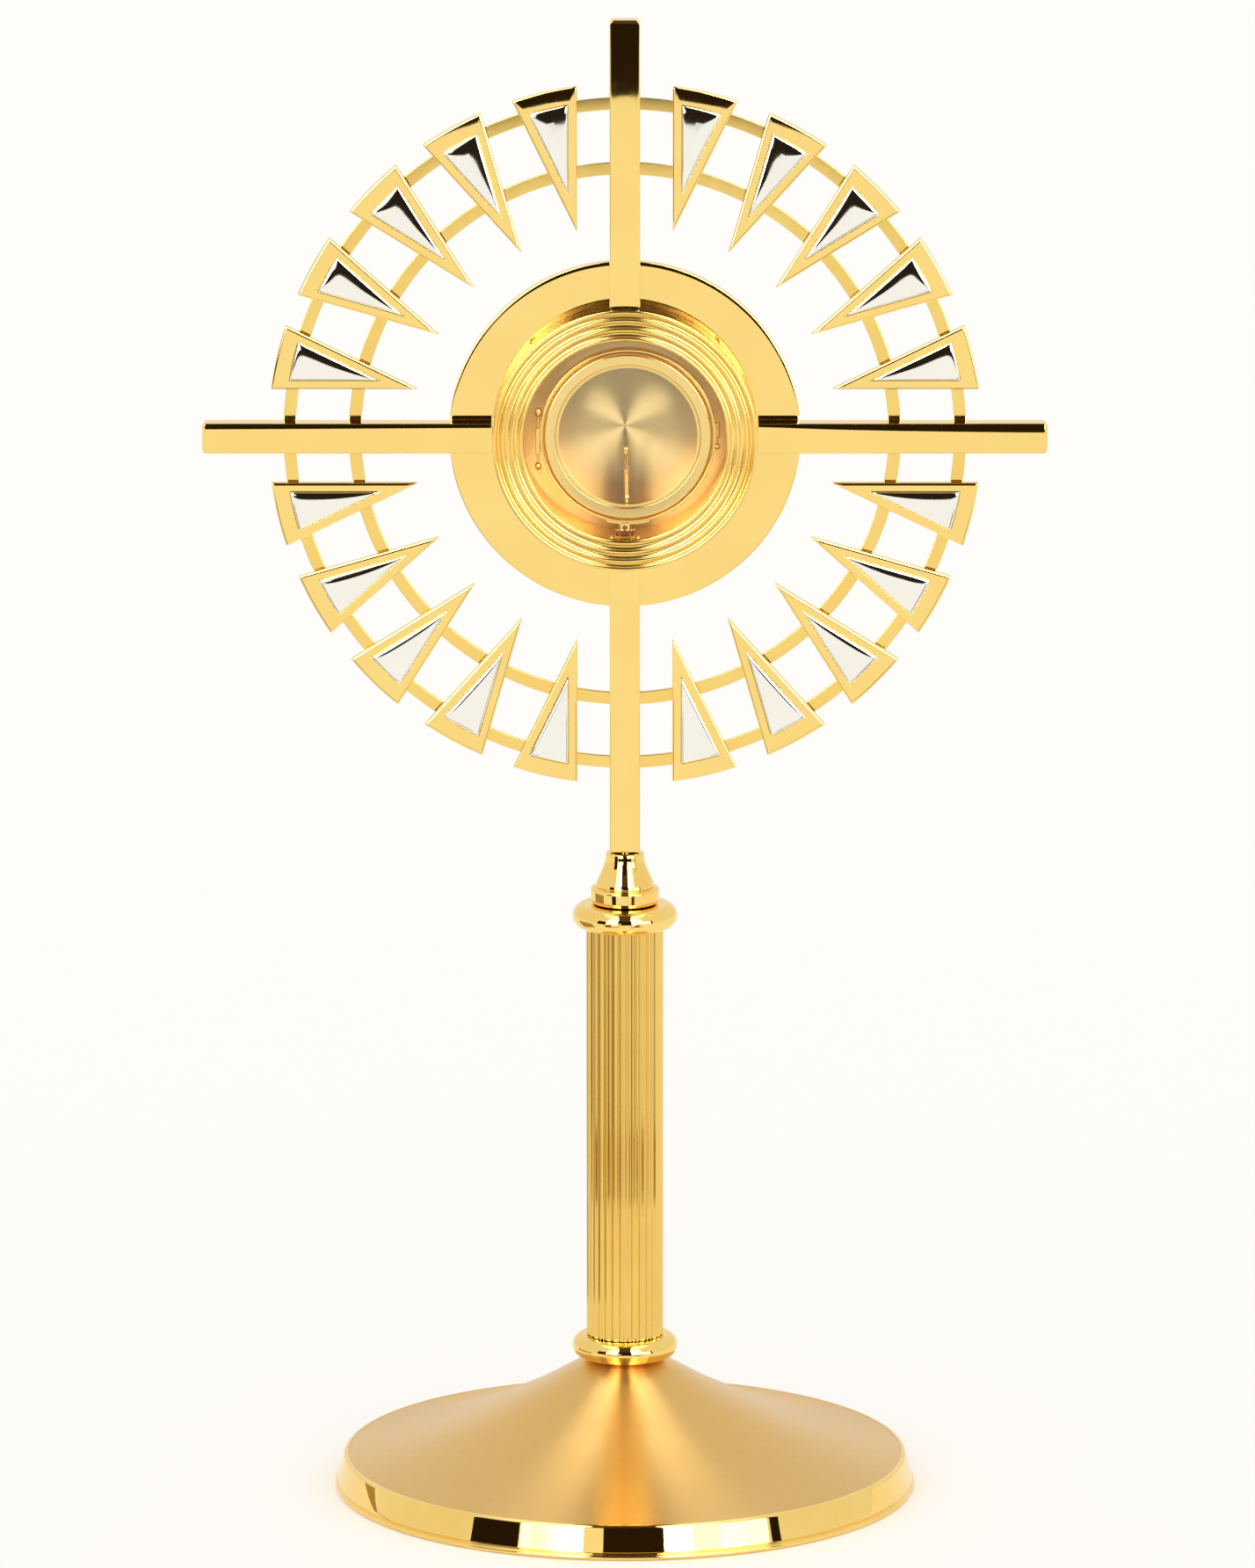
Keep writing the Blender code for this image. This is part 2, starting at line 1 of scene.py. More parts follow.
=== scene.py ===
"""Looks of the monstrance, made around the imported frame: polished and brushed gold, silver and glass.

Metres. The front faces -Y. Pieces of the head are drawn flat, with local +Z towards the front.
"""
from math import cos, exp, hypot, pi, radians, sin, sqrt, tan

import bmesh
import bpy
from mathutils import Matrix, Vector


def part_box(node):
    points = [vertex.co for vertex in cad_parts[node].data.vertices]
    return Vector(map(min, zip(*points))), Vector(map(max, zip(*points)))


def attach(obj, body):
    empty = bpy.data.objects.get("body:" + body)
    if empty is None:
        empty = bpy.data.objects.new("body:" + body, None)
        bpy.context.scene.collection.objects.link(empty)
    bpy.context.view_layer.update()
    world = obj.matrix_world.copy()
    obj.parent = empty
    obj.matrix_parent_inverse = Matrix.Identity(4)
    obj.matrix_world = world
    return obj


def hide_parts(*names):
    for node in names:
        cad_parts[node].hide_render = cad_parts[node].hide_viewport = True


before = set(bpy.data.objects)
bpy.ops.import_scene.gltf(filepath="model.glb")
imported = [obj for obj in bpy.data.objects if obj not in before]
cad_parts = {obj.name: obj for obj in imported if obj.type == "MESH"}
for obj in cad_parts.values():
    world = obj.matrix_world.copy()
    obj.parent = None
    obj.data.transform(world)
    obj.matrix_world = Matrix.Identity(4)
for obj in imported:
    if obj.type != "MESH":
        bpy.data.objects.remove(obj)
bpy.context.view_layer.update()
scene = bpy.context.scene


def node_box(node):
    """The corners of a CAD node's box."""
    low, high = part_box(node)
    return Vector(low), Vector(high)


# Sizes read from the frame.
RING_LOW, RING_HIGH = node_box("outer_ring")
HEAD_Z = (RING_LOW.z + RING_HIGH.z) / 2
ARM_LOW, ARM_HIGH = node_box("right_arm")
LOWER_ARM_LOW = node_box("lower_arm")[0]
DISC_LOW, DISC_HIGH = node_box("disc_plate")
BEZEL_LOW, BEZEL_HIGH = node_box("front_bezel")
GLASS_LOW, GLASS_HIGH = node_box("front_glass")
DRUM_LOW = node_box("case_drum")[0]
LUNA_LOW, LUNA_HIGH = node_box("luna_ring")
PANE_LOW, PANE_HIGH = node_box("luna_glass")
LATCH_LOW, LATCH_HIGH = node_box("latch")
BASE_HIGH = node_box("base_shell")[1]
COLUMN_LOW, COLUMN_HIGH = node_box("column")
CUP_LOW, CUP_HIGH = node_box("stem_cup")
ROD_LOW, ROD_HIGH = node_box("tie_rod")

# Sizes that the frame's boxes can't give.
GAP = 0.0003
RAY_TIP = 0.0828
RAY_END = 0.1394
RAY_HALF_ANGLE = radians(13)
RAY_SIDE_BAND = 0.0034
RAY_END_BAND = 0.0065
RAY_PITCH = radians(16)
RAY_BACK = -0.0042
RAY_FRONT = -0.0010
RAY_EDGE_WIDTH = 0.0011
RAY_EDGE_DEPTH = 0.0006
WINDOW_TIP = RAY_TIP + RAY_SIDE_BAND / sin(RAY_HALF_ANGLE)
WINDOW_END = RAY_END - RAY_END_BAND
WINDOW_EDGE = 0.00015
INSERT_GAP = 0.00005
INSERT_FRONT = 0.0003
INSERT_RIM = RAY_FRONT - 0.0001
INSERT_INSETS = (
    0.0, 0.00008, 0.00018, 0.0003, 0.00045, 0.00065, 0.0009, 0.0012,
    0.0016, 0.0021, 0.0027, 0.0034, 0.0042, 0.0050, 0.0056,
)
EDGE_SHARE = 0.72
EDGE_REACH = 0.0002
SWELL_REACH = 0.0016
ARM_CORNER = 0.0005
ARM_END_BEVEL = 0.0013
CROWN_STEPS = 16
DISC_ROLL_START = 0.0016
DISC_ROLL_CORNER = 0.0004
DISC_ROLL_DROP = 0.00009
RING_WIDTHS = {"outer_ring": 0.0048, "inner_ring": 0.0049}
STEM_BORE = 0.0033
COLUMN_BORE = 0.0120
FLUTES = 30
FLUTE_DEPTH = 0.00080
FLUTE_LAND = 0.24
FLUTE_STEPS = 14
APERTURE = 0.0396
SLEEVE = 0.0006
DRUM_INNER = 0.0413
DRUM_OUTER = 0.0433
DRUM_BACK = 0.0230
FLANGE_RADIUS = 0.0475
FLANGE_THICK = 0.0035
DOOR_RADIUS = 0.0470
DOOR_FRONT = 0.0233
DOOR_BACK = 0.0258
DOOR_KNOB_X = 0.0280
HINGE_X = -0.0505
HINGE_Y = 0.0265
KNUCKLE_RADIUS = 0.0026
KNUCKLE_HALF = 0.0050
LUG_LENGTH = 0.0045
LATCH_X = 0.0515
LUNA_X = 0.0012
LUNA_RADIUS = 0.0345
LUNA_OPENING = 0.0271
LUNA_REAR_PANE = 0.0058

BASE_WALL = 0.0022
BASE_CEILING_DROP = 0.0036
BASE_SLOPE = (
    (0.0165, 0.0510), (0.0200, 0.0490), (0.0250, 0.0461), (0.0320, 0.0419), (0.0400, 0.0376),
    (0.0500, 0.0328), (0.0620, 0.0273), (0.0780, 0.0212), (0.0940, 0.0166), (0.1080, 0.0136),
)
BASE_SEAM = (0.1098, 0.01333)

GOLD = (0.985, 0.72, 0.24)
DEEP_GOLD = (0.95, 0.64, 0.175)
BRUSHED_GOLD = (0.93, 0.69, 0.31)
SILVER = (0.93, 0.91, 0.84)
GLASS_INDEX = 1.28


# ---- materials

def node(tree, kind, **settings):
    """A shader node with its properties set, and sockets set by name where the name has no property."""
    made = tree.nodes.new(kind)
    for key, value in settings.items():
        if hasattr(made, key):
            setattr(made, key, value)
        else:
            made.inputs[key.replace("_", " ")].default_value = value
    return made


def link(tree, source, target):
    """Joins two sockets."""
    tree.links.new(source, target)


def noise_of(tree, vector, scale, detail):
    """Noise at a place, as a value socket."""
    noise = node(tree, "ShaderNodeTexNoise", Scale=scale, Detail=detail)
    link(tree, vector, noise.inputs["Vector"])
    return noise.outputs["Fac"]


def ranged(tree, value, low, high):
    """A 0.3 to 0.7 value mapped to a range."""
    mapped = node(tree, "ShaderNodeMapRange", From_Min=0.3, From_Max=0.7, To_Min=low, To_Max=high)
    link(tree, value, mapped.inputs["Value"])
    return mapped.outputs["Result"]


def tinted(tree, value, color, other):
    """A colour that wanders between two by a 0.3 to 0.7 value."""
    mix = node(tree, "ShaderNodeMix", data_type="RGBA")
    mix.inputs[6].default_value = (*color, 1.0)
    mix.inputs[7].default_value = (*other, 1.0)
    link(tree, ranged(tree, value, 0.0, 1.0), mix.inputs[0])
    return mix.outputs[2]


def bumped(tree, value, depth):
    """A normal socket from a height in metres."""
    bump = node(tree, "ShaderNodeBump", Strength=1.0, Distance=depth)
    link(tree, value, bump.inputs["Height"])
    return bump.outputs["Normal"]


def blank_metal(name):
    """A new metal, with its tree, its shader and its object coordinates."""
    material = bpy.data.materials.new(name)
    material.use_nodes = True
    tree = material.node_tree
    shader = tree.nodes["Principled BSDF"]
    shader.inputs["Metallic"].default_value = 1.0
    coords = node(tree, "ShaderNodeTexCoord").outputs["Object"]
    return material, tree, shader, coords


def polished(name, color, other, smooth=0.012, worn=0.025, wave=6e-6, grain=1e-7):
    """Buffed plate: a faint wander of tone and gloss, a very shallow swell and a very fine buffing grain."""
    material, tree, shader, coords = blank_metal(name)
    cloud = noise_of(tree, coords, 35.0, 3.0)
    smudge = noise_of(tree, coords, 160.0, 4.0)
    waves = bumped(tree, noise_of(tree, coords, 70.0, 1.0), wave)
    fine = bumped(tree, noise_of(tree, coords, 2600.0, 2.0), grain)
    link(tree, waves, fine.node.inputs["Normal"])
    link(tree, tinted(tree, cloud, color, other), shader.inputs["Base Color"])
    link(tree, ranged(tree, smudge, smooth, worn), shader.inputs["Roughness"])
    link(tree, fine, shader.inputs["Normal"])
    return material


def turned_metal(name, color, other, axis, smooth, worn, anisotropy, ring_scale, depth):
    """Lathe-brushed plate: fine rings about an axis, broken up a little, with the gloss drawn across them."""
    material, tree, shader, coords = blank_metal(name)
    flat = node(tree, "ShaderNodeVectorMath", operation="MULTIPLY")
    flat.inputs[1].default_value = (1.0, 1.0, 0.0) if axis == "Z" else (1.0, 0.0, 1.0)
    if axis == "Y":
        centred = node(tree, "ShaderNodeVectorMath", operation="SUBTRACT")
        centred.inputs[1].default_value = (0.0, 0.0, HEAD_Z)
        link(tree, coords, centred.inputs[0])
        link(tree, centred.outputs["Vector"], flat.inputs[0])
    else:
        link(tree, coords, flat.inputs[0])
    radius = node(tree, "ShaderNodeVectorMath", operation="LENGTH")
    link(tree, flat.outputs["Vector"], radius.inputs[0])
    rings = node(tree, "ShaderNodeTexNoise", noise_dimensions="1D", Scale=ring_scale, Detail=3.0)
    link(tree, radius.outputs["Value"], rings.inputs["W"])
    broken = noise_of(tree, coords, 260.0, 3.0)
    both = node(tree, "ShaderNodeMix", data_type="FLOAT")
    both.inputs[0].default_value = 0.35
    link(tree, rings.outputs["Fac"], both.inputs[2])
    link(tree, broken, both.inputs[3])
    pattern = both.outputs[0]
    link(tree, tinted(tree, pattern, color, other), shader.inputs["Base Color"])
    link(tree, ranged(tree, pattern, smooth, worn), shader.inputs["Roughness"])
    link(tree, bumped(tree, rings.outputs["Fac"], depth), shader.inputs["Normal"])
    shader.inputs["Anisotropic"].default_value = anisotropy
    shader.inputs["Anisotropic Rotation"].default_value = 0.25
    tangent = node(tree, "ShaderNodeTangent", direction_type="RADIAL", axis=axis)
    link(tree, tangent.outputs["Tangent"], shader.inputs["Tangent"])
    return material


def clear_glass(name):
    """A thin pane: clear, with a mirror share that grows at grazing angles and a trace of haze."""
    material = bpy.data.materials.new(name)
    material.use_nodes = True
    tree = material.node_tree
    tree.nodes.remove(tree.nodes["Principled BSDF"])
    coords = node(tree, "ShaderNodeTexCoord").outputs["Object"]
    haze = noise_of(tree, coords, 90.0, 3.0)
    facing = node(tree, "ShaderNodeNewGeometry").outputs["Backfacing"]
    index = node(tree, "ShaderNodeMapRange", To_Min=GLASS_INDEX, To_Max=1 / GLASS_INDEX)
    link(tree, facing, index.inputs["Value"])
    fresnel = node(tree, "ShaderNodeFresnel")
    link(tree, index.outputs["Result"], fresnel.inputs["IOR"])
    clear = node(tree, "ShaderNodeBsdfTransparent", Color=(0.995, 0.997, 0.994, 1.0))
    gloss = node(tree, "ShaderNodeBsdfAnisotropic")
    link(tree, ranged(tree, haze, 0.01, 0.05), gloss.inputs["Roughness"])
    mix = node(tree, "ShaderNodeMixShader")
    link(tree, fresnel.outputs["Fac"], mix.inputs["Fac"])
    link(tree, clear.outputs["BSDF"], mix.inputs[1])
    link(tree, gloss.outputs["BSDF"], mix.inputs[2])
    link(tree, mix.outputs["Shader"], tree.nodes["Material Output"].inputs["Surface"])
    return material


MIRROR_GOLD = polished("mirror_gold", GOLD, DEEP_GOLD)
FACE_GOLD = polished("face_gold", GOLD, (0.96, 0.69, 0.22), 0.010, 0.020, 5e-6)
COLUMN_GOLD = polished("column_gold", (0.89, 0.61, 0.165), (0.84, 0.55, 0.135), 0.05, 0.10)
BASE_GOLD = turned_metal(
    "base_gold", (0.80, 0.52, 0.175), (0.76, 0.475, 0.15), "Z", 0.30, 0.34, 0.90, 6000, 1e-6
)
DOOR_GOLD = turned_metal("door_gold", BRUSHED_GOLD, (0.88, 0.66, 0.29), "Y", 0.31, 0.34, 0.94, 6000, 6e-7)
RING_GOLD = polished("ring_gold", (0.96, 0.69, 0.21), (0.92, 0.63, 0.17), 0.08, 0.11)
BEZEL_GOLD = polished("bezel_gold", GOLD, DEEP_GOLD, 0.11, 0.15)
# Satin gold for the case's inner wall. Its deeper orange is painted reflection: it stands in for gold
# reflected in gold inside the case.
PAINTED_REFLECTION_SATIN = polished("painted_reflection_satin", (0.95, 0.58, 0.12), (0.91, 0.54, 0.10), 0.36, 0.44)
# Amber gold for the bezel's outer wall and the luna's clasp, satin in finish. Its deeper orange is painted
# reflection of the gold around it.
PAINTED_REFLECTION_AMBER = polished("painted_reflection_amber", (0.92, 0.55, 0.13), (0.86, 0.48, 0.10), 0.22, 0.26, 2e-6)
LUNA_GOLD = turned_metal("luna_gold", GOLD, (0.95, 0.70, 0.28), "Y", 0.14, 0.18, 0.4, 6000, 5e-7)
BRIGHT_SILVER = polished("bright_silver", SILVER, (0.91, 0.89, 0.81), 0.03, 0.05, 2e-5)
PLAIN_STEEL = polished("plain_steel", (0.60, 0.59, 0.57), (0.5, 0.49, 0.47), 0.25, 0.4, 2e-5, 3e-6)
CASE_GLASS = clear_glass("case_glass")


# ---- shapes

def place(name, mesh, material, body, *replaced, smooth_angle=35.0):
    """A finished piece: smooth but for its sharp edges, on a body, in place of the CAD nodes named."""
    mesh.materials.clear()
    mesh.materials.append(material)
    mesh.shade_smooth()
    mesh.set_sharp_from_angle(angle=radians(smooth_angle))
    piece = bpy.data.objects.new(name, mesh)
    scene.collection.objects.link(piece)
    weighted = piece.modifiers.new("weighted", "WEIGHTED_NORMAL")
    weighted.keep_sharp = True
    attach(piece, body)
    if replaced:
        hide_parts(*replaced)


def finished(shape, name):
    """A mesh from a bmesh, with its faces turned outwards."""
    bmesh.ops.recalc_face_normals(shape, faces=shape.faces)
    mesh = bpy.data.meshes.new(name)
    shape.to_mesh(mesh)
    shape.free()
    return mesh


def arc(centre, radius, start, end, count):
    """Points on an arc, in degrees, both ends included."""
    angles = [radians(start + (end - start) * i / (count - 1)) for i in range(count)]
    return [(centre[0] + radius * cos(a), centre[1] + radius * sin(a)) for a in angles]


def softened(points, radius, closed=True, count=4):
    """An outline with each corner rounded by up to the radius. A point may carry its own radius third."""
    result = []
    total = len(points)
    for i, point in enumerate(points):
        here = Vector(point[:2])
        size = point[2] if len(point) > 2 else radius
        if size == 0 or (not closed and i in (0, total - 1)):
            result.append(tuple(here))
            continue
        before = Vector(points[i - 1][:2]) - here
        after = Vector(points[(i + 1) % total][:2]) - here
        bend = before.angle(after)
        if bend > radians(172):
            result.append(tuple(here))
            continue
        cut = min(size / tan(bend / 2), before.length * 0.45, after.length * 0.45)
        start = here + before.normalized() * cut
        end = here + after.normalized() * cut
        for step in range(count + 1):
            t = step / count
            curve = start * (1 - t) ** 2 + here * 2 * t * (1 - t) + end * t ** 2
            result.append(tuple(curve))
    return result


def spline_through(points, count):
    """A smooth curve through points, by Catmull-Rom, with count steps between each two."""
    result = []
    last = len(points) - 1
    for i in range(last):
        p0 = Vector(points[max(i - 1, 0)])
        p1 = Vector(points[i])
        p2 = Vector(points[i + 1])
        p3 = Vector(points[min(i + 2, last)])
        for step in range(count):
            t = step / count
            spot = 0.5 * (
                2 * p1
                + (p2 - p0) * t
                + (2 * p0 - 5 * p1 + 4 * p2 - p3) * t ** 2
                + (3 * p1 - p0 - 3 * p2 + p3) * t ** 3
            )
            result.append(tuple(spot))
    result.append(points[last])
    return result


def ring_outline(inner, outer, low, high, radius):
    """The section of a flat ring with rounded corners, for spun_mesh."""
    return softened([(inner, high), (outer, high), (outer, low), (inner, low)], radius)


def spun_mesh(name, outline, steps=192, closed=True):
    """A solid of revolution about local Z from points (radius, height)."""
    shape = bmesh.new()
    rows = []
    for step in range(steps):
        turn = 2 * pi * step / steps
        rows.append([shape.verts.new((r * cos(turn), r * sin(turn), z)) for r, z in outline])
    count = len(outline)
    spans = count if closed else count - 1
    for step in range(steps):
        row = rows[step]
        following = rows[(step + 1) % steps]
        for i in range(spans):
            j = (i + 1) % count
            shape.faces.new((row[i], row[j], following[j], following[i]))
    bmesh.ops.remove_doubles(shape, verts=shape.verts, dist=1e-6)
    loose = [f for f in shape.faces if f.calc_area() < 1e-13]
    bmesh.ops.delete(shape, geom=loose, context="FACES")
    return finished(shape, name)


def skinned(name, loops, ring=False):
    """A closed mesh through loops of equally many points. Its ends meet in a ring, or both are capped."""
    shape = bmesh.new()
    rows = [[shape.verts.new(point) for point in loop] for loop in loops]
    following = rows[1:] + rows[:1] if ring else rows[1:]
    for near, far in zip(rows, following):
        for i in range(len(near)):
            j = (i + 1) % len(near)
            shape.faces.new((near[i], near[j], far[j], far[i]))
    if not ring:
        shape.faces.new(rows[0])
        shape.faces.new(rows[-1])
    return finished(shape, name)


def stood_up(mesh, x=0.0, angle=0.0):
    """Turns a flat mesh to face the front at the head's centre, turned by angle from +X towards +Z."""
    turn = Matrix.Rotation(-angle, 4, "Y") @ Matrix.Rotation(radians(90), 4, "X")
    mesh.transform(Matrix.Translation((x, 0.0, HEAD_Z)) @ turn)
    return mesh


def plate_mesh(name, outline, holes, low, high, bevel):
    """A plate in the XY plane between two heights, with holes and softened edges."""
    curve = bpy.data.curves.new(name, "CURVE")
    curve.dimensions = "2D"
    curve.fill_mode = "BOTH"
    curve.extrude = (high - low) / 2
    for loop in (outline, *holes):
        spline = curve.splines.new("POLY")
        spline.points.add(len(loop) - 1)
        for point, (x, y) in zip(spline.points, loop):
            point.co = (x, y, 0.0, 1.0)
        spline.use_cyclic_u = True
    source = bpy.data.objects.new(name, curve)
    scene.collection.objects.link(source)
    graph = bpy.context.evaluated_depsgraph_get()
    mesh = bpy.data.meshes.new_from_object(source.evaluated_get(graph))
    bpy.data.objects.remove(source, do_unlink=True)
    shape = bmesh.new()
    shape.from_mesh(mesh)
    bpy.data.meshes.remove(mesh)
    bmesh.ops.remove_doubles(shape, verts=shape.verts, dist=1e-6)
    bmesh.ops.translate(shape, verts=shape.verts, vec=(0.0, 0.0, (low + high) / 2))
    bmesh.ops.dissolve_limit(shape, angle_limit=radians(0.5), verts=shape.verts, edges=shape.edges)
    if bevel:
        rims = [e for e in shape.edges if len(e.link_faces) == 2 and e.calc_face_angle() > radians(50)]
        rims = [e for e in rims if abs(e.verts[0].co.z - e.verts[1].co.z) < 1e-5]
        bmesh.ops.bevel(
            shape, geom=rims, offset=bevel, offset_type="OFFSET", segments=3, profile=0.5, affect="EDGES",
            clamp_overlap=True,
        )
    return finished(shape, name)


def block_mesh(name, low, high, bevel=0.0003, segments=3):
    """A box between two corners, with softened edges."""
    low = Vector(low)
    high = Vector(high)
    shape = bmesh.new()
    bmesh.ops.create_cube(shape, size=1.0)
    bmesh.ops.scale(shape, verts=shape.verts, vec=high - low)
    bmesh.ops.translate(shape, verts=shape.verts, vec=(low + high) / 2)
    bmesh.ops.bevel(shape, geom=shape.edges[:], offset=bevel, segments=segments, profile=0.5, affect="EDGES")
    return finished(shape, name)


def peg_mesh(name, start, end, outline, steps=64):
    """A turned piece whose outline (radius, share of its length) runs from start to end."""
    start = Vector(start)
    end = Vector(end)
    length = (end - start).length
    mesh = spun_mesh(name, [(r, share * length) for r, share in outline], steps, closed=False)
    turn = Vector((0.0, 0.0, 1.0)).rotation_difference(end - start).to_matrix().to_4x4()
    mesh.transform(Matrix.Translation(start) @ turn)
    return mesh


def chamfered(radius, cut, edge):
    """A short pin whose ends are chamfered by cut over an edge share of its length, for peg_mesh."""
    inner = radius - cut
    return [(0.0, 0.0), (inner, 0.0), (radius, edge), (radius, 1 - edge), (inner, 1.0), (0.0, 1.0)]


def pin_outline(radius, edge=0.12):
    """A plain pin with softened ends, for peg_mesh."""
    return chamfered(radius, radius * 0.2, edge)


def ball_outline(radius):
    """A ball or a long bead, for peg_mesh."""
    return [(radius * sin(a), (1 - cos(a)) / 2) for a in (pi * i / 14 for i in range(15))]


def circle_points(radius, count):
    """Points round a circle, for holes and hexagons."""
    return [(radius * cos(a), radius * sin(a)) for a in (2 * pi * i / count for i in range(count))]


# ---- stem and base

def make_base():
    """The flared shell, as two pieces that share a seam: its slope is brushed and its rim is polished."""
    radius = BASE_HIGH.x
    top = BASE_HIGH.z
    seam_r, seam_z = BASE_SEAM
    cone = [(STEM_BORE, top), (0.0139, top), (0.0144, top - 0.0003)]
    cone += spline_through(BASE_SLOPE + (BASE_SEAM,), 8)
    under = [(r, z - BASE_WALL) for r, z in reversed(spline_through(BASE_SLOPE, 3))]
    cone += [(seam_r, seam_z - BASE_WALL)] + under + [(STEM_BORE, top - BASE_CEILING_DROP)]
    place("base_cone", spun_mesh("base_cone", cone, 256), BASE_GOLD, "root", "base_shell")
    rim = [
        (seam_r, seam_z + 0.00002),
        (0.1103, seam_z),
        *arc((0.1103, 0.0120), 0.0013, 84, 15, 8),
        (0.1127, 0.0080),
        (0.1137, 0.0042),
        (0.11395, 0.0031),
        (0.1137, 0.0025),
        *arc((radius - 0.0011, 0.00115), 0.0011, 85, -70, 10),
        (0.1135, 0.0),
        (0.1116, 0.0),
        (0.1116, 0.0024),
        (0.1094, 0.0100),
        (seam_r - 0.0002, seam_z - BASE_WALL),
    ]
    place("base_rim", spun_mesh("base_rim", rim, 256), MIRROR_GOLD, "root")


def make_bead(node_name, minor):
    """A polished round bead with flat ends, sized from its CAD node."""
    low, high = node_box(node_name)
    middle = (low.z + high.z) / 2
    outline = [(STEM_BORE, high.z), *arc((high.x - minor, middle), minor, 90, -90, 40), (STEM_BORE, low.z)]
    place(node_name + "_bead", spun_mesh(node_name, outline), MIRROR_GOLD, "root", node_name)


def make_column():
    """The fluted tube: each flute is a shallow round groove with a narrow land beside it."""
    radius = COLUMN_HIGH.x
    section = []
    for flute in range(FLUTES):
        for step in range(FLUTE_STEPS):
            share = step / FLUTE_STEPS
            depth = 0.0
            if share > FLUTE_LAND:
                depth = FLUTE_DEPTH * sin(pi * (share - FLUTE_LAND) / (1 - FLUTE_LAND))
            turn = 2 * pi * (flute + share) / FLUTES
            section.append(((radius - depth) * cos(turn), (radius - depth) * sin(turn)))
    bore = circle_points(COLUMN_BORE, 96)
    mesh = plate_mesh("column", section, [bore], COLUMN_LOW.z, COLUMN_HIGH.z, 0.0)
    place("fluted_column", mesh, COLUMN_GOLD, "root", "column", smooth_angle=60.0)


def make_cup():
    """The step ring and the concave cone under the cross."""
    top = CUP_HIGH.z
    bottom = CUP_LOW.z
    cone = spline_through(
        [(0.0078, 0.2535), (0.0086, 0.2510), (0.0099, 0.2478), (0.0112, 0.2450), (0.0115, 0.2437)], 6
    )
    outline = [
        (STEM_BORE, top),
        (0.0065, top),
        *arc((0.0066, top - 0.0009), 0.0009, 80, 0, 6),
        (0.0076, 0.2556),
        (0.0076, 0.2549),
        *cone,
        (0.0113, 0.2431),
        (0.0122, 0.2430),
        *arc((0.0124, 0.2418), 0.0011, 85, 0, 7),
        (0.0135, 0.2385),
        *arc((0.0123, bottom + 0.0010), 0.0010, 10, -90, 6),
        (STEM_BORE, bottom),
    ]
    place("cup", spun_mesh("cup", outline, 160), MIRROR_GOLD, "root", "stem_cup")


def make_tie_rod():
    """The steel rod, its washer and its hexagonal nut under the base."""
    washer_top = BASE_HIGH.z - BASE_CEILING_DROP - GAP
    nut_top = washer_top - 0.0015
    nut_bottom = nut_top - 0.0058
    rod = peg_mesh("rod", (0, 0, ROD_LOW.z), (0, 0, ROD_HIGH.z), pin_outline(0.0030, 0.004), 32)
    place("rod", rod, PLAIN_STEEL, "root", "tie_rod")
    ring = ring_outline(0.0034, 0.0110, nut_top, washer_top, 0.0003)
    place("washer", spun_mesh("washer", ring, 64), PLAIN_STEEL, "root")
    hole = circle_points(0.0031, 32)
    nut = plate_mesh("nut", circle_points(0.0062, 6), [hole], nut_bottom, nut_top - 0.00005, 0.0004)
    place("nut", nut, PLAIN_STEEL, "root")


# ---- cross and sunburst

def bar_loop(half_width, low, high, x, crown):
    """One cross-section of a bar that runs along X, its front face falling by the crown at its long edges."""
    loop = []
    front = high - crown
    flat = half_width - ARM_CORNER
    for sign_y, sign_z, start in ((1, 1, 0), (-1, 1, 90), (-1, -1, 180), (1, -1, 270)):
        level = front - ARM_CORNER if sign_z > 0 else low + ARM_CORNER
        loop += [(x, y, z) for y, z in arc((sign_y * flat, level), ARM_CORNER, start, start + 90, 5)]
        if (sign_y, sign_z) == (1, 1):
            for i in range(1, CROWN_STEPS):
                share = 1 - 2 * i / CROWN_STEPS
                loop.append((x, flat * share, high - crown * abs(share) ** 3))
    return loop


def bar_mesh(name, start, end, half_width, low, high, end_bevel, crowns):
    """A bar along X with softened long edges, a bevelled far end and a crown that changes along it."""
    spans = [(start + (end - end_bevel - start) * i / 12, 0.0) for i in range(13)]
    spans += [
        (end - end_bevel * 0.80, end_bevel * 0.06), (end - end_bevel * 0.12, end_bevel * 0.72),
        (end - end_bevel * 0.03, end_bevel * 0.86), (end, end_bevel),
    ]
    loops = []
    for x, inset in spans:
        share = (x - start) / (end - start)
        crown = crowns[0] + (crowns[1] - crowns[0]) * share
        loops.append(bar_loop(half_width - inset, low + inset, high - inset, x, crown))
    return skinned(name, loops)


def make_arms():
    """The four bars of the cross."""
    half = (ARM_HIGH.z - ARM_LOW.z) / 2
    front = -ARM_LOW.y
    back = -ARM_HIGH.y
    near = ARM_LOW.x
    far = ARM_HIGH.x
    reach = HEAD_Z - (CUP_HIGH.z + GAP)
    for name, angle, end, bevel, crowns in (
        ("right_arm", 0, far, ARM_END_BEVEL, (0.00007, 0.00028)),
        ("upper_arm", 90, far, ARM_END_BEVEL, (0.00003, 0.00006)),
        ("left_arm", 180, far, ARM_END_BEVEL, (0.00009, 0.00012)),
        ("lower_arm", 270, reach, 0.0004, (0.00003, 0.00003)),
    ):
        mesh = stood_up(bar_mesh(name, near, end, half, back, front, bevel, crowns), angle=radians(angle))
        place(name + "_bar", mesh, FACE_GOLD, "root", name)
    tang = pin_outline(0.0030, 0.05)
    mesh = peg_mesh("tang", (0, 0, LOWER_ARM_LOW.z), (0, 0, CUP_HIGH.z + 0.001), tang, 32)
    place("lower_arm_tang", mesh, FACE_GOLD, "root")


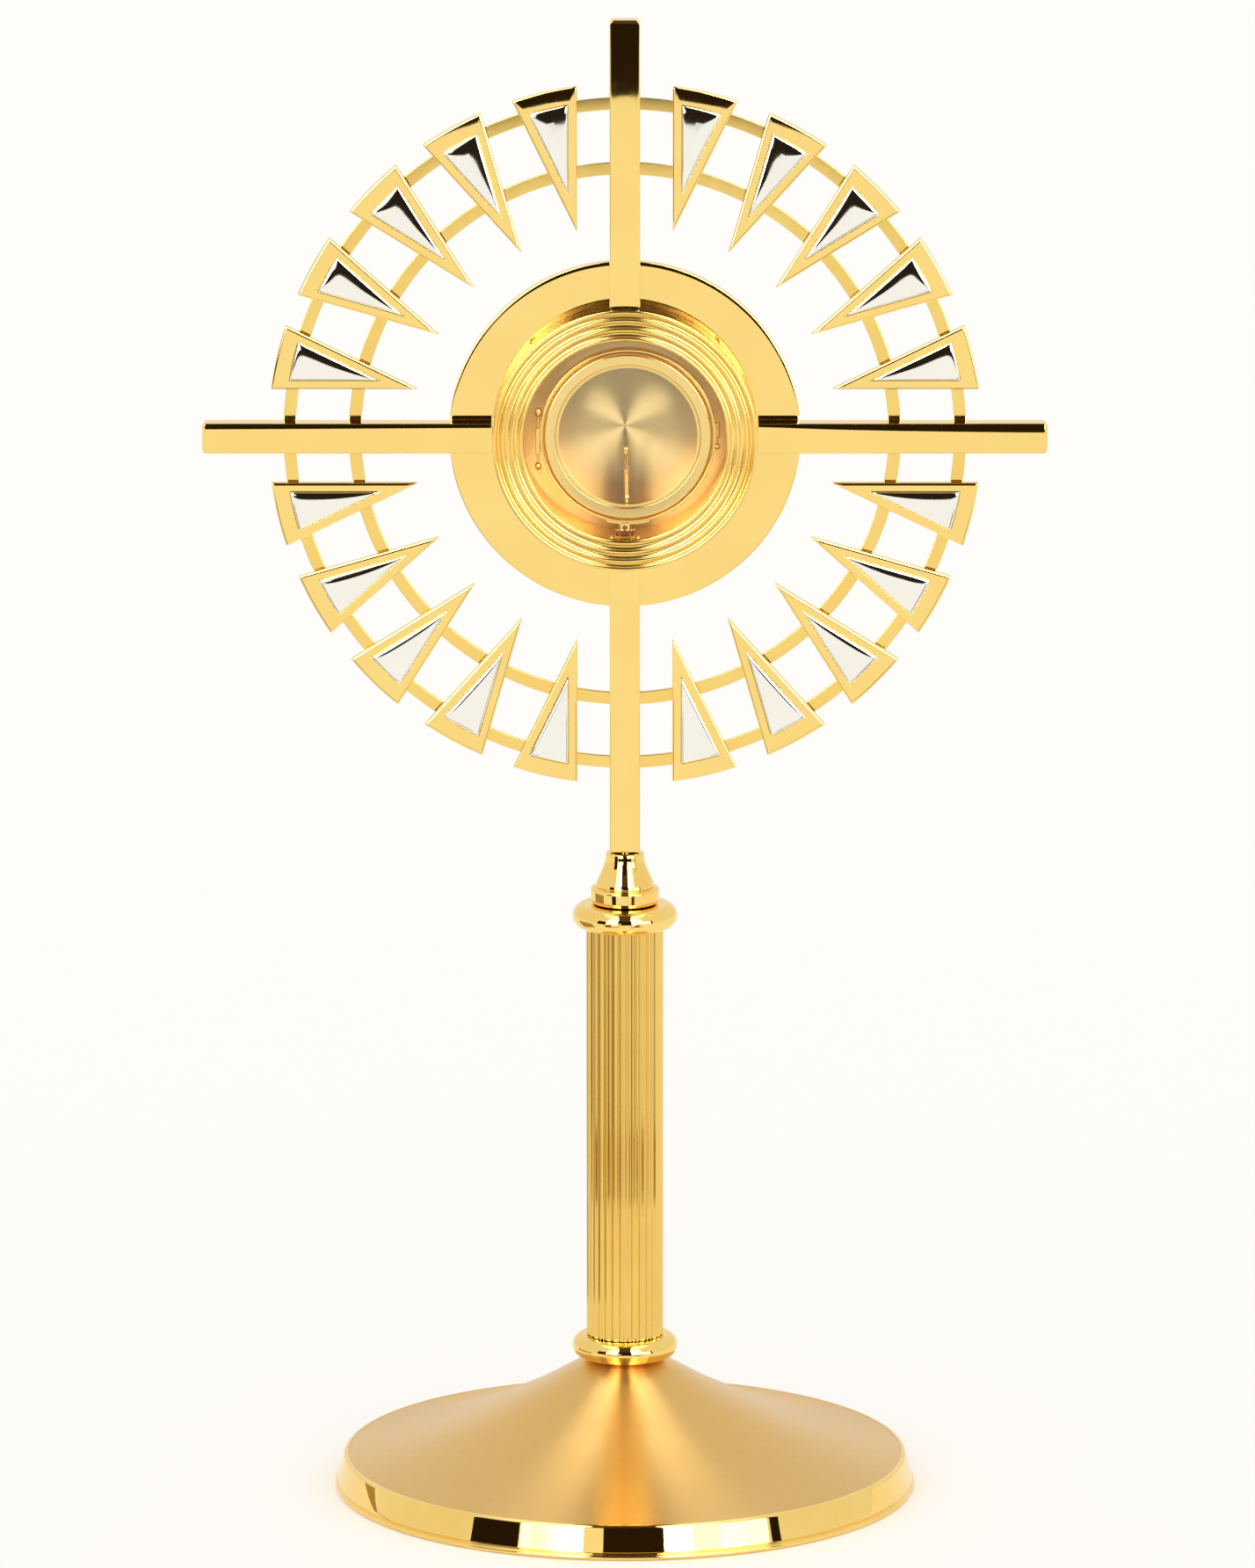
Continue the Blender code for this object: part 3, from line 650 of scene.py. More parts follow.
def wedge(tip, end):
    """A wedge outline from its tip round its curved outer edge, for sides at RAY_HALF_ANGLE to its middle."""
    side_points = 12
    end_points = 15
    slope = tan(RAY_HALF_ANGLE)
    square = 1 + slope * slope
    reach = (slope * slope * tip + sqrt(square * end * end - slope * slope * tip * tip)) / square
    half = (reach - tip) * slope
    shares = [(i + 1) / (side_points + 1) for i in range(side_points)]
    outline = [(tip, 0.0)]
    outline += [(tip + (reach - tip) * share, -half * share) for share in shares]
    for i in range(end_points):
        side = half * (2 * i / (end_points - 1) - 1)
        outline.append((sqrt(end * end - side * side), side))
    outline += [(tip + (reach - tip) * share, half * share) for share in reversed(shares)]
    return outline


def swell(x, y, tip, end):
    """The rise of an insert's face: steep at its edges, and nearly flat along its middle."""
    side = (x - tip) * sin(RAY_HALF_ANGLE)
    across = y * cos(RAY_HALF_ANGLE)
    rise = INSERT_FRONT - INSERT_RIM
    for distance in (side - across, side + across, end - hypot(x, y)):
        inside = max(distance, 0.0)
        rise *= 1 - EDGE_SHARE * exp(-inside / EDGE_REACH) - (1 - EDGE_SHARE) * exp(-inside / SWELL_REACH)
    return INSERT_RIM + rise


def insert_mesh(tip, end):
    """A silver panel with straight sides and a swelling face."""
    loops = [[(x, y, RAY_BACK) for x, y in softened(wedge(tip, end), 0.0005, count=3)]]
    for inset in INSERT_INSETS:
        outline = softened(wedge(tip + inset / sin(RAY_HALF_ANGLE), end - inset), 0.0005, count=3)
        loops.append([(x, y, swell(x, y, tip, end)) for x, y in outline])
    return skinned("insert", loops)


def frame_mesh():
    """A gold wedge with a window. Its front edges are rounded more widely than deeply."""
    steps = [radians(a) for a in (0, 15, 30, 45, 60, 75, 90)]
    rows = [(RAY_TIP, RAY_END, 0.0003, RAY_BACK), (RAY_TIP, RAY_END, 0.0, RAY_BACK + 0.0003)]
    for turn in steps:
        sink = RAY_EDGE_DEPTH * (1 - sin(turn))
        rows.append((RAY_TIP, RAY_END, RAY_EDGE_WIDTH * (1 - cos(turn)), RAY_FRONT - sink))
    for turn in reversed(steps):
        sink = WINDOW_EDGE * (1 - sin(turn))
        rows.append((WINDOW_TIP, WINDOW_END, -WINDOW_EDGE * (1 - cos(turn)), RAY_FRONT - sink))
    rows.append((WINDOW_TIP, WINDOW_END, 0.0, RAY_BACK))
    loops = []
    for tip, end, inset, height in rows:
        outline = softened(wedge(tip + inset / sin(RAY_HALF_ANGLE), end - inset), 0.0002, count=2)
        loops.append([(x, y, height) for x, y in outline])
    return skinned("ray", loops, ring=True)


def make_rays():
    """Twenty gold wedges, each with a window and a silver insert, five to a quarter of the cross."""
    insert_tip = WINDOW_TIP + INSERT_GAP / sin(RAY_HALF_ANGLE)
    number = 0
    for quarter in range(4):
        for step in range(-2, 3):
            number += 1
            angle = radians(45 + 90 * quarter) + RAY_PITCH * step
            gold = stood_up(frame_mesh(), angle=angle)
            place(f"ray_frame_{number:02d}", gold, FACE_GOLD, "root", f"ray_{number:02d}")
            silver = stood_up(insert_mesh(insert_tip, WINDOW_END - INSERT_GAP), angle=angle)
            place(f"ray_panel_{number:02d}", silver, BRIGHT_SILVER, "root", f"ray_insert_{number:02d}")


def make_rings():
    """The two flat rings behind the rays and arms."""
    for name, width in RING_WIDTHS.items():
        low, high = node_box(name)
        outline = ring_outline(high.x - width, high.x, -high.y, -low.y, 0.00025)
        mesh = stood_up(spun_mesh(name + "_strip", outline, 256))
        place(name + "_strip", mesh, RING_GOLD, "root", name)


def make_disc():
    """The plate behind the cross. Buffing has rolled its front edge off before it turns the corner."""
    outer = DISC_HIGH.x
    front = -DISC_LOW.y
    back = -DISC_HIGH.y
    inner = DRUM_OUTER + GAP
    corner = DISC_ROLL_CORNER
    outline = [(inner, front), (inner + 0.001, front)]
    for i in range(9):
        share = i / 8
        reach = outer - DISC_ROLL_START + (DISC_ROLL_START - corner) * share
        outline.append((reach, front - DISC_ROLL_DROP * share ** 2))
    outline += arc((outer - corner, front - DISC_ROLL_DROP - corner), corner, 70, 10, 5)
    outline += [(outer, back + corner), (outer - corner, back), (inner, back)]
    mesh = stood_up(spun_mesh("disc", outline, 256))
    place("disc", mesh, FACE_GOLD, "root", "disc_plate")


# ---- case

def make_bezel():
    """The deep ring with four round ribs on its front and a cove between each two."""
    front = -BEZEL_LOW.y
    outer = BEZEL_HIGH.x
    rib = 0.00085
    cove_depth = 0.00045
    rib_centres = [APERTURE + rib + 0.0001, 0.0441, 0.0477, outer - rib]
    outline = []
    for i, centre in enumerate(rib_centres):
        outline += arc((centre, front - rib), rib, 180 if i == 0 else 165, 0 if i == 3 else 15, 9)
        if i < 3:
            left = centre + rib
            right = rib_centres[i + 1] - rib
            for step in range(1, 12):
                share = step / 12
                sink = rib * 0.75 + cove_depth * sin(pi * share)
                outline.append((left + (right - left) * share, front - sink))
    back = -BEZEL_HIGH.y
    stop = -GLASS_HIGH.y - GAP
    seat = -GLASS_LOW.y + GAP
    glass_radius = GLASS_HIGH.x + GAP
    outline += softened(
        [
            (outer, front - 0.0025, 0), (outer, front - 0.0030, 0), (outer - SLEEVE, front - 0.0030, 0),
            (outer - SLEEVE, back, 0), (DRUM_OUTER + GAP, back, 0.0002),
            (DRUM_OUTER + GAP, stop, 0.0001), (glass_radius, stop, 0.0001), (glass_radius, seat, 0.0001),
            (APERTURE, seat, 0.0001), (APERTURE, front - 0.0012, 0),
        ],
        0.0001,
    )
    mesh = stood_up(spun_mesh("bezel", outline, 320))
    place("bezel", mesh, BEZEL_GOLD, "root", "front_bezel")
    # The outer wall is a separate skin in the amber gold, whose deeper orange is painted reflection of the
    # gold around it.
    skin = [
        (outer, front - 0.0031), (outer, back), (outer - SLEEVE + 0.0001, back),
        (outer - SLEEVE + 0.0001, front - 0.0031),
    ]
    place("bezel_sleeve", stood_up(spun_mesh("sleeve", skin, 256)), PAINTED_REFLECTION_AMBER, "root")


def make_case_pane():
    """The case's pane, with ground edges."""
    radius = (GLASS_HIGH.x - GLASS_LOW.x) / 2
    front = -GLASS_LOW.y
    back = -GLASS_HIGH.y
    outline = softened([(0.0, front), (radius, front), (radius, back), (0.0, back)], 0.0002, closed=False)
    mesh = stood_up(spun_mesh("case_pane", outline, 128, closed=False))
    place("case_pane", mesh, CASE_GLASS, "root", "front_glass")


def make_luna_pane(name, radius, depth, *replaced):
    """A pane as a single sheet, so that light still reaches the door through the case's three panes."""
    shape = bmesh.new()
    bmesh.ops.create_circle(shape, cap_ends=True, segments=128, radius=radius)
    bmesh.ops.translate(shape, verts=shape.verts, vec=(0.0, 0.0, -depth))
    mesh = stood_up(finished(shape, name), LUNA_X)
    place(name, mesh, CASE_GLASS, "luna", *replaced)


def cut_slot(mesh, top):
    """A small turned head with a straight slot cut across its top."""
    head = bpy.data.objects.new("head", mesh)
    slot_mesh = block_mesh("slot", (-0.003, -0.0002, top - 0.0004), (0.003, 0.0002, top + 0.001), 0.00002, 1)
    slot = bpy.data.objects.new("slot", slot_mesh)
    scene.collection.objects.link(head)
    scene.collection.objects.link(slot)
    cut = head.modifiers.new("slot", "BOOLEAN")
    cut.operation = "DIFFERENCE"
    cut.object = slot
    graph = bpy.context.evaluated_depsgraph_get()
    result = bpy.data.meshes.new_from_object(head.evaluated_get(graph))
    bpy.data.objects.remove(head, do_unlink=True)
    bpy.data.objects.remove(slot, do_unlink=True)
    return result


def make_bezel_screws():
    """Two small slotted screws in the bezel's wall, at the upper left and right."""
    top = 0.0524
    outline = [(0.0, top), (0.0009, top), (0.00125, 0.0521), (0.00125, 0.0512), (0.0, 0.0512)]
    for side, label in ((-1, "left"), (1, "right")):
        turn = Matrix.Translation((0, 0, HEAD_Z)) @ Matrix.Rotation(radians(44 * side), 4, "Y")
        head = cut_slot(spun_mesh("screw", outline, 32, closed=False), top)
        head.transform(turn @ Matrix.Translation((0, 0.0016, 0)))
        place(f"bezel_screw_{label}", head, MIRROR_GOLD, "root")


def make_drum():
    """The case's wall and rear flange."""
    front = DRUM_LOW.y
    flange = DRUM_BACK - FLANGE_THICK
    outline = softened(
        [
            (DRUM_INNER, -front, 0.0002), (DRUM_OUTER, -front, 0.0002),
            (DRUM_OUTER, -flange, 0.0006), (FLANGE_RADIUS, -flange, 0.0005),
            (FLANGE_RADIUS, -DRUM_BACK, 0.0004), (DRUM_INNER, -DRUM_BACK, 0.0003),
        ],
        0.0002,
    )
    mesh = stood_up(spun_mesh("drum", outline))
    # The wall is in the satin gold whose deeper orange is painted reflection of gold in gold.
    place("drum_wall", mesh, PAINTED_REFLECTION_SATIN, "root", "case_drum")
    for side, label in ((-1, "left"), (1, "right")):
        edges = sorted((side * 0.0022, side * 0.0039))
        low = (edges[0], 0.0015, HEAD_Z - DRUM_INNER - 0.0006)
        high = (edges[1], 0.0215, HEAD_Z - 0.0370)
        place(f"rail_{label}", block_mesh("rail", low, high), MIRROR_GOLD, "root")
        spot = (side * 0.0052, 0.0036, HEAD_Z - sqrt(DRUM_INNER ** 2 - 0.0052 ** 2))
        dome = [(0.0, 1.0), *((0.0011 * x, y) for x, y in arc((0.0, 0.0), 1.0, 75, 0, 6))]
        dome += [(0.0011, -0.5), (0.0, -0.5)]
        top = (spot[0], spot[1], spot[2] + 0.0010)
        rivet = peg_mesh("rivet", spot, top, dome, 32)
        place(f"rail_rivet_{label}", rivet, MIRROR_GOLD, "root")


def make_hinge():
    """Lugs, pin, knuckle and leaf of the rear door's hinge."""
    flange = DRUM_BACK - FLANGE_THICK
    near = KNUCKLE_HALF + GAP
    far = near + LUG_LENGTH
    barrel = chamfered(KNUCKLE_RADIUS, 0.0002, 0.08)
    for side, label in ((1, "top"), (-1, "bottom")):
        bottom, top = sorted((HEAD_Z + side * near, HEAD_Z + side * far))
        mesh = peg_mesh("lug", (HINGE_X, HINGE_Y, bottom), (HINGE_X, HINGE_Y, top), barrel, 48)
        place(f"hinge_lug_{label}", mesh, MIRROR_GOLD, "root")
        low = (HINGE_X - KNUCKLE_RADIUS, flange, bottom)
        high = (-FLANGE_RADIUS - GAP, HINGE_Y, top)
        place(f"hinge_web_{label}", block_mesh("web", low, high), MIRROR_GOLD, "root")
        low = (HINGE_X, flange, bottom)
        high = (0.0010 - FLANGE_RADIUS, DRUM_BACK, top)
        place(f"hinge_tie_{label}", block_mesh("tie", low, high), MIRROR_GOLD, "root")
    reach = far + 0.0008
    low = (HINGE_X, HINGE_Y, HEAD_Z - reach)
    high = (HINGE_X, HINGE_Y, HEAD_Z + reach)
    pin = peg_mesh("pin", low, high, pin_outline(0.0012, 0.02), 32)
    place("hinge_pin", pin, PLAIN_STEEL, "root")
    bottom = HEAD_Z - KNUCKLE_HALF
    top = HEAD_Z + KNUCKLE_HALF
    ring = ring_outline(0.0015, KNUCKLE_RADIUS, bottom, top, 0.0003)
    knuckle = spun_mesh("knuckle", ring, 48)
    knuckle.transform(Matrix.Translation((HINGE_X, HINGE_Y, 0)))
    place("door_knuckle", knuckle, MIRROR_GOLD, "door")
    low = (HINGE_X + 0.0019, DOOR_BACK - 0.0004, bottom)
    high = (-0.0380, HINGE_Y + 0.0002, top)
    leaf = block_mesh("leaf", low, high)
    place("door_leaf", leaf, MIRROR_GOLD, "door")
    for z in (-0.0028, 0.0028):
        rivet = peg_mesh(
            "rivet", (-0.0405, HINGE_Y, HEAD_Z + z), (-0.0405, HINGE_Y + 0.0007, HEAD_Z + z),
            [(0.0010, 0.0), (0.0009, 0.5), (0.0006, 0.85), (0.0, 1.0)], 24,
        )
        place(f"leaf_rivet_{'low' if z < 0 else 'high'}", rivet, MIRROR_GOLD, "door")


def make_door():
    """The round door, lathe-brushed on both faces, with a groove near its rim and a turned pull knob."""
    groove = 0.0004 - DOOR_BACK
    outline = softened(
        [
            (0.0, -DOOR_FRONT), (DOOR_RADIUS, -DOOR_FRONT, 0.0004), (DOOR_RADIUS, -DOOR_BACK, 0.0006),
            (0.0440, -DOOR_BACK, 0.0002), (0.0436, groove, 0.0002), (0.0428, groove, 0.0002),
            (0.0424, -DOOR_BACK, 0.0002), (0.0, -DOOR_BACK),
        ],
        0.0003,
        closed=False,
    )
    mesh = stood_up(spun_mesh("door", outline, closed=False))
    place("door_plate", mesh, DOOR_GOLD, "door", "door")
    knob = [
        (0.0015, 0.99), (0.0028, 0.93), (0.0034, 0.82), (0.0036, 0.70), (0.0034, 0.58), (0.0026, 0.50),
        (0.0018, 0.44), (0.0016, 0.34), (0.0017, 0.22), (0.0022, 0.12), (0.0030, 0.06),
    ]
    start = (DOOR_KNOB_X, DOOR_BACK, HEAD_Z)
    end = (DOOR_KNOB_X, DOOR_BACK + 0.0072, HEAD_Z)
    smooth_knob = [(0.0, 1.0), *spline_through(knob, 4), (0.0031, -0.02), (0.0, -0.02)]
    place("door_knob", peg_mesh("knob", start, end, smooth_knob), MIRROR_GOLD, "door")


def make_latch():
    """The turn button with its boss and rounded lever, on the ear's headed pin."""
    flange = DRUM_BACK - FLANGE_THICK
    boss_radius = 0.0032
    bore = 0.0018
    low = (FLANGE_RADIUS - 0.0020, flange, HEAD_Z - boss_radius)
    high = (LATCH_X, DRUM_BACK, HEAD_Z + boss_radius)
    place("latch_ear", block_mesh("ear", low, high), MIRROR_GOLD, "root")
    end = chamfered(boss_radius, 0.0003, 0.1)
    round_end = peg_mesh("ear_end", (LATCH_X, flange, HEAD_Z), (LATCH_X, DRUM_BACK, HEAD_Z), end)
    place("latch_ear_end", round_end, MIRROR_GOLD, "root")
    lever_front = LATCH_HIGH.y - 0.0018
    pin_back = LATCH_HIGH.y + GAP + 0.0010
    headed = [
        (0.0, 0.0), (0.0015, 0.0), (0.0015, 0.835), (0.0025, 0.845),
        (0.0026, 0.88), (0.0026, 0.94), (0.0020, 1.0), (0.0, 1.0),
    ]
    start = (LATCH_X, DRUM_BACK - 0.0005, HEAD_Z)
    pin = peg_mesh("latch_pin", start, (LATCH_X, pin_back, HEAD_Z), headed, 48)
    place("latch_pin", pin, PLAIN_STEEL, "root")
    ring = ring_outline(bore, boss_radius, -lever_front, -LATCH_LOW.y, 0.0002)
    boss = stood_up(spun_mesh("boss", ring, 64), LATCH_X)
    place("latch_boss", boss, MIRROR_GOLD, "latch")
    tip = LATCH_HIGH.z - HEAD_Z
    outline = arc((0.0, 0.0), boss_radius, 135, 405, 28)
    outline += arc((0.0, tip - 0.0024), 0.0024, 10, 170, 14)
    hole = arc((0.0, 0.0), bore, 0, 345, 24)
    lever = plate_mesh("lever", outline, [hole], -LATCH_HIGH.y, -lever_front, 0.0003)
    stood_up(lever, LATCH_X)
    place("latch_lever", lever, MIRROR_GOLD, "latch", "latch")


# ---- luna

def make_luna():
    """The luna's turned frame inside its bright outer band, with its panes, hinge, clasp and foot."""
    front = -LUNA_LOW.y
    back = -LUNA_HIGH.y
    lip = front - 0.0020
    frame_outline = softened(
        [
            (LUNA_OPENING, front - 0.0008, 0.0001), (0.0281, front - 0.0008, 0.0001),
            (0.0286, front - 0.0001, 0.0004), (0.0323, front, 0.0008), (0.0332, front - 0.0009, 0.0003),
            (0.0332, lip, 0.0001), (0.0310, lip, 0.0001), (LUNA_OPENING, lip, 0.0001),
        ],
        0.0001,
    )
    mesh = stood_up(spun_mesh("luna_frame", frame_outline), LUNA_X)
    place("luna_frame", mesh, LUNA_GOLD, "luna", "luna_ring")
    band = softened(
        [
            (0.0335, front - 0.0012, 0.0002), (LUNA_RADIUS, front - 0.0012, 0.0003),
            (LUNA_RADIUS, back, 0.0004), (0.0310, back, 0.0003),
            (0.0310, lip - 0.0001, 0.0001), (0.0335, lip - 0.0001, 0.0001),
        ],
        0.0002,
    )
    place("luna_band", stood_up(spun_mesh("luna_band", band), LUNA_X), MIRROR_GOLD, "luna")
    pane_radius = (PANE_HIGH.x - PANE_LOW.x) / 2
    make_luna_pane("luna_front_pane", pane_radius, PANE_LOW.y, "luna_glass")
    make_luna_pane("luna_rear_pane", pane_radius, LUNA_REAR_PANE)
    make_luna_hinge()
    make_luna_foot()
    make_host_clip()


def make_luna_hinge():
    """A bar and two knuckles on a pin at the luna's left, and a clasp with a round stud at its right."""
    x = LUNA_X - LUNA_RADIUS - 0.0006
    y = 0.0030
    lug = ball_outline(0.0014)
    low = (x - 0.0010, y - 0.0010, HEAD_Z - 0.0075)
    high = (x + 0.0008, y + 0.0010, HEAD_Z + 0.0032)
    place("luna_hinge_bar", block_mesh("bar", low, high, 0.0004), MIRROR_GOLD, "luna")
    for label, bottom, top in (("upper", 0.0072, 0.0112), ("lower", -0.0138, -0.0106)):
        mesh = peg_mesh("lug", (x, y, HEAD_Z + bottom), (x, y, HEAD_Z + top), lug, 32)
        place(f"luna_hinge_lug_{label}", mesh, MIRROR_GOLD, "luna")
    pin = peg_mesh("pin", (x, y, HEAD_Z - 0.0110), (x, y, HEAD_Z + 0.0076), pin_outline(0.0005, 0.02), 24)
    place("luna_hinge_pin", pin, MIRROR_GOLD, "luna")
    x = LUNA_X + LUNA_RADIUS
    low = (x - 0.0012, 0.0020, HEAD_Z - 0.0010)
    high = (x + 0.0014, 0.0060, HEAD_Z + 0.0055)
    # The clasp is in the amber gold, whose deeper orange is painted reflection of the gold around it.
    place("luna_clasp", block_mesh("clasp", low, high, 0.0006), PAINTED_REFLECTION_AMBER, "luna")
    hang = HEAD_Z - 0.0045
    stem = peg_mesh("stem", (x + 0.0002, 0.0040, hang), (x + 0.0002, 0.0040, HEAD_Z), pin_outline(0.0006), 24)
    place("luna_clasp_stem", stem, MIRROR_GOLD, "luna")
    stud = peg_mesh("stud", (x + 0.0004, 0.0022, hang), (x + 0.0004, 0.0046, hang), ball_outline(0.0012), 32)
    place("luna_clasp_stud", stud, MIRROR_GOLD, "luna")


def make_luna_foot():
    """The flat sole under the luna and the drilled tab that stands between the rails."""
    bottom = HEAD_Z - LUNA_RADIUS
    edge = LUNA_RADIUS - 0.0004
    sector = arc((0.0, 0.0), edge, -104, -76, 24) + arc((0.0, 0.0), edge + 0.0012, -76, -104, 24)
    sole = stood_up(plate_mesh("sole", sector, [], -0.0060, -0.0012, 0.0003), LUNA_X)
    place("luna_sole", sole, MIRROR_GOLD, "luna")
    tab_bottom = LUNA_LOW.z
    height = bottom - tab_bottom
    outline = softened([(-0.0019, 0.0), (0.0019, 0.0), (0.0019, height), (-0.0019, height)], 0.0003)
    hole = arc((0.0, height * 0.66), 0.0010, 0, 345, 24)
    tab = plate_mesh("tab", outline, [hole], -0.0060, -0.0010, 0.0002)
    tab.transform(Matrix.Translation((0, 0, tab_bottom)) @ Matrix.Rotation(radians(90), 4, "X"))
    place("luna_tab", tab, MIRROR_GOLD, "luna")


def make_host_clip():
    """A slender post in the luna that a host leans on, with two small collars."""
    low = HEAD_Z - LUNA_OPENING - 0.0006
    top = HEAD_Z - 0.0045
    outline = [(0.0, 0.0), (0.0011, 0.0), (0.0011, 0.10), (0.0014, 0.11), (0.0014, 0.15), (0.0011, 0.17)]
    outline += [(0.0011, 0.52), (0.0014, 0.54), (0.0014, 0.60), (0.0010, 0.62)]
    outline += [(0.0008, 0.84), (0.0013, 0.87), (0.0015, 0.92), (0.0013, 0.98), (0.0, 1.0)]
    mesh = peg_mesh("clip", (0.0008, 0.0045, low), (0.0004, 0.0045, top), outline, 32)
    place("host_clip", mesh, MIRROR_GOLD, "luna")


# ---- studio

WORLD_COLOR = (1.0, 0.985, 0.96)
LIGHT_COLOR = (1.0, 0.985, 0.955)
FLOOR_HALF = 30.0
FLAG_LIFT = 0.0015
# Depth, height and half width along each strip.
HOOD_PROFILE = ((-3.27, 0.003, 2.6), (-4.6, 0.003, 3.6), (-5.6, 1.0, 4.4), (-5.6, 3.7, 4.4))
ROOF_PROFILE = ((-5.6, 3.7, 1.6), (-3.0, 5.5, 1.0), (0.0, 6.0, 0.75), (3.0, 6.0, 0.55), (9.0, 6.0, 0.35))
# Name, first and last bearing, near and far distance, colour.
FLOOR_FLAGS = (
    ("floor_flag_left", -44, -12, 0.47, 0.60, (0.42, 0.29, 0.12)),
    ("floor_flag_right", 12, 40, 0.47, 0.60, (0.42, 0.29, 0.12)),
    ("floor_line_left", -44, -30, 0.60, 1.45, (0.04, 0.02, 0.01)),
    ("floor_line_right", 22, 32, 0.60, 1.45, (0.10, 0.06, 0.02)),
    ("floor_side_left", -118, -76, 0.30, 1.10, (0.46, 0.34, 0.17)),
)
# Name, bearing, width in degrees, lowest and highest point, distance, colour.
UPRIGHT_FLAGS = (
    ("flag_left", -52, 20, 0.1, 1.1, 2.2, (0.02, 0.012, 0.006)),
    ("flag_right", 61, 4, 0.1, 1.1, 2.2, (0.02, 0.012, 0.006)),
)
# Name, bearing, lowest and highest point, distance, width, radiance.
SOFTBOXES = (
    ("softbox_left", -22, 0.30, 2.6, 2.4, 0.50, 6.0),
    ("softbox_left_wide", -29, 0.30, 2.6, 2.5, 1.15, 3.0),
    ("softbox_left_low", -20, 0.25, 0.90, 3.2, 1.3, 1.0),
    ("softbox_right", 21, 0.30, 2.6, 2.4, 0.50, 6.0),
    ("softbox_right_wide", 28, 0.30, 2.6, 2.5, 1.15, 3.0),
    ("softbox_right_low", 49, 0.30, 1.1, 2.5, 0.8, 3.0),
)


def plain_material(name, color, emission=0.0):
    """A matt material for the studio, which may glow a little."""
    material = bpy.data.materials.new(name)
    material.use_nodes = True
    shader = material.node_tree.nodes["Principled BSDF"]
    shader.inputs["Base Color"].default_value = (*color, 1.0)
    shader.inputs["Roughness"].default_value = 0.9
    shader.inputs["Specular IOR Level"].default_value = 0.0
    shader.inputs["Emission Color"].default_value = (*color, 1.0)
    shader.inputs["Emission Strength"].default_value = emission
    return material


def stage_card(name, corners, faces, material):
    """A flat or folded sheet that belongs to the studio."""
    mesh = bpy.data.meshes.new(name)
    mesh.from_pydata(corners, [], faces)
    mesh.materials.append(material)
    card = bpy.data.objects.new(name, mesh)
    scene.collection.objects.link(card)
    return card


def mirror_card(name, corners, faces, color):
    """A studio card that only reflections see."""
    card = stage_card(name, corners, faces, plain_material(name, color))
    card.visible_camera = False
    card.visible_diffuse = False
    card.visible_shadow = False
    card.visible_transmission = False


def spread(start, end, count):
    """Evenly spaced values, both ends included."""
    return [start + (end - start) * i / count for i in range(count + 1)]


def make_hood(name, profile, color):
    """A dark strip in front of or above the monstrance, from its depths, heights and half widths."""
    corners = [(half * side, y, z) for y, z, half in profile for side in (-1, 1)]
    faces = [(i, i + 1, i + 3, i + 2) for i in range(0, len(corners) - 2, 2)]
    mirror_card(name, corners, faces, color)


def floor_flag(name, start, end, near, far, color):
    """A dark patch of the floor between two bearings and two distances."""
    inner = [(near * sin(radians(a)), -near * cos(radians(a)), FLAG_LIFT) for a in spread(start, end, 12)]
    outer = [(far * sin(radians(a)), -far * cos(radians(a)), FLAG_LIFT) for a in spread(end, start, 12)]
    mirror_card(name, inner + outer, [tuple(range(26))], color)


def upright_flag(name, turn, width, low, high, distance, color):
    """A dark upright card at a bearing. Its width is in degrees too."""
    corners = []
    for bearing, z in ((-0.5, low), (0.5, low), (0.5, high), (-0.5, high)):
        angle = radians(turn + width * bearing)
        corners.append((distance * sin(angle), -distance * cos(angle), z))
    mirror_card(name, corners, [(0, 1, 2, 3)], color)


def area_light(name, spot, aim, width, height, brightness):
    """A rectangular light that only reflections see."""
    light = bpy.data.lights.new(name, "AREA")
    light.shape = "RECTANGLE"
    light.size = width
    light.size_y = height
    light.energy = brightness * pi * width * height
    light.color = LIGHT_COLOR
    lamp = bpy.data.objects.new(name, light)
    lamp.location = spot
    lamp.rotation_euler = (Vector(aim) - Vector(spot)).to_track_quat("-Z", "Y").to_euler()
    lamp.visible_camera = False
    lamp.visible_diffuse = False
    scene.collection.objects.link(lamp)


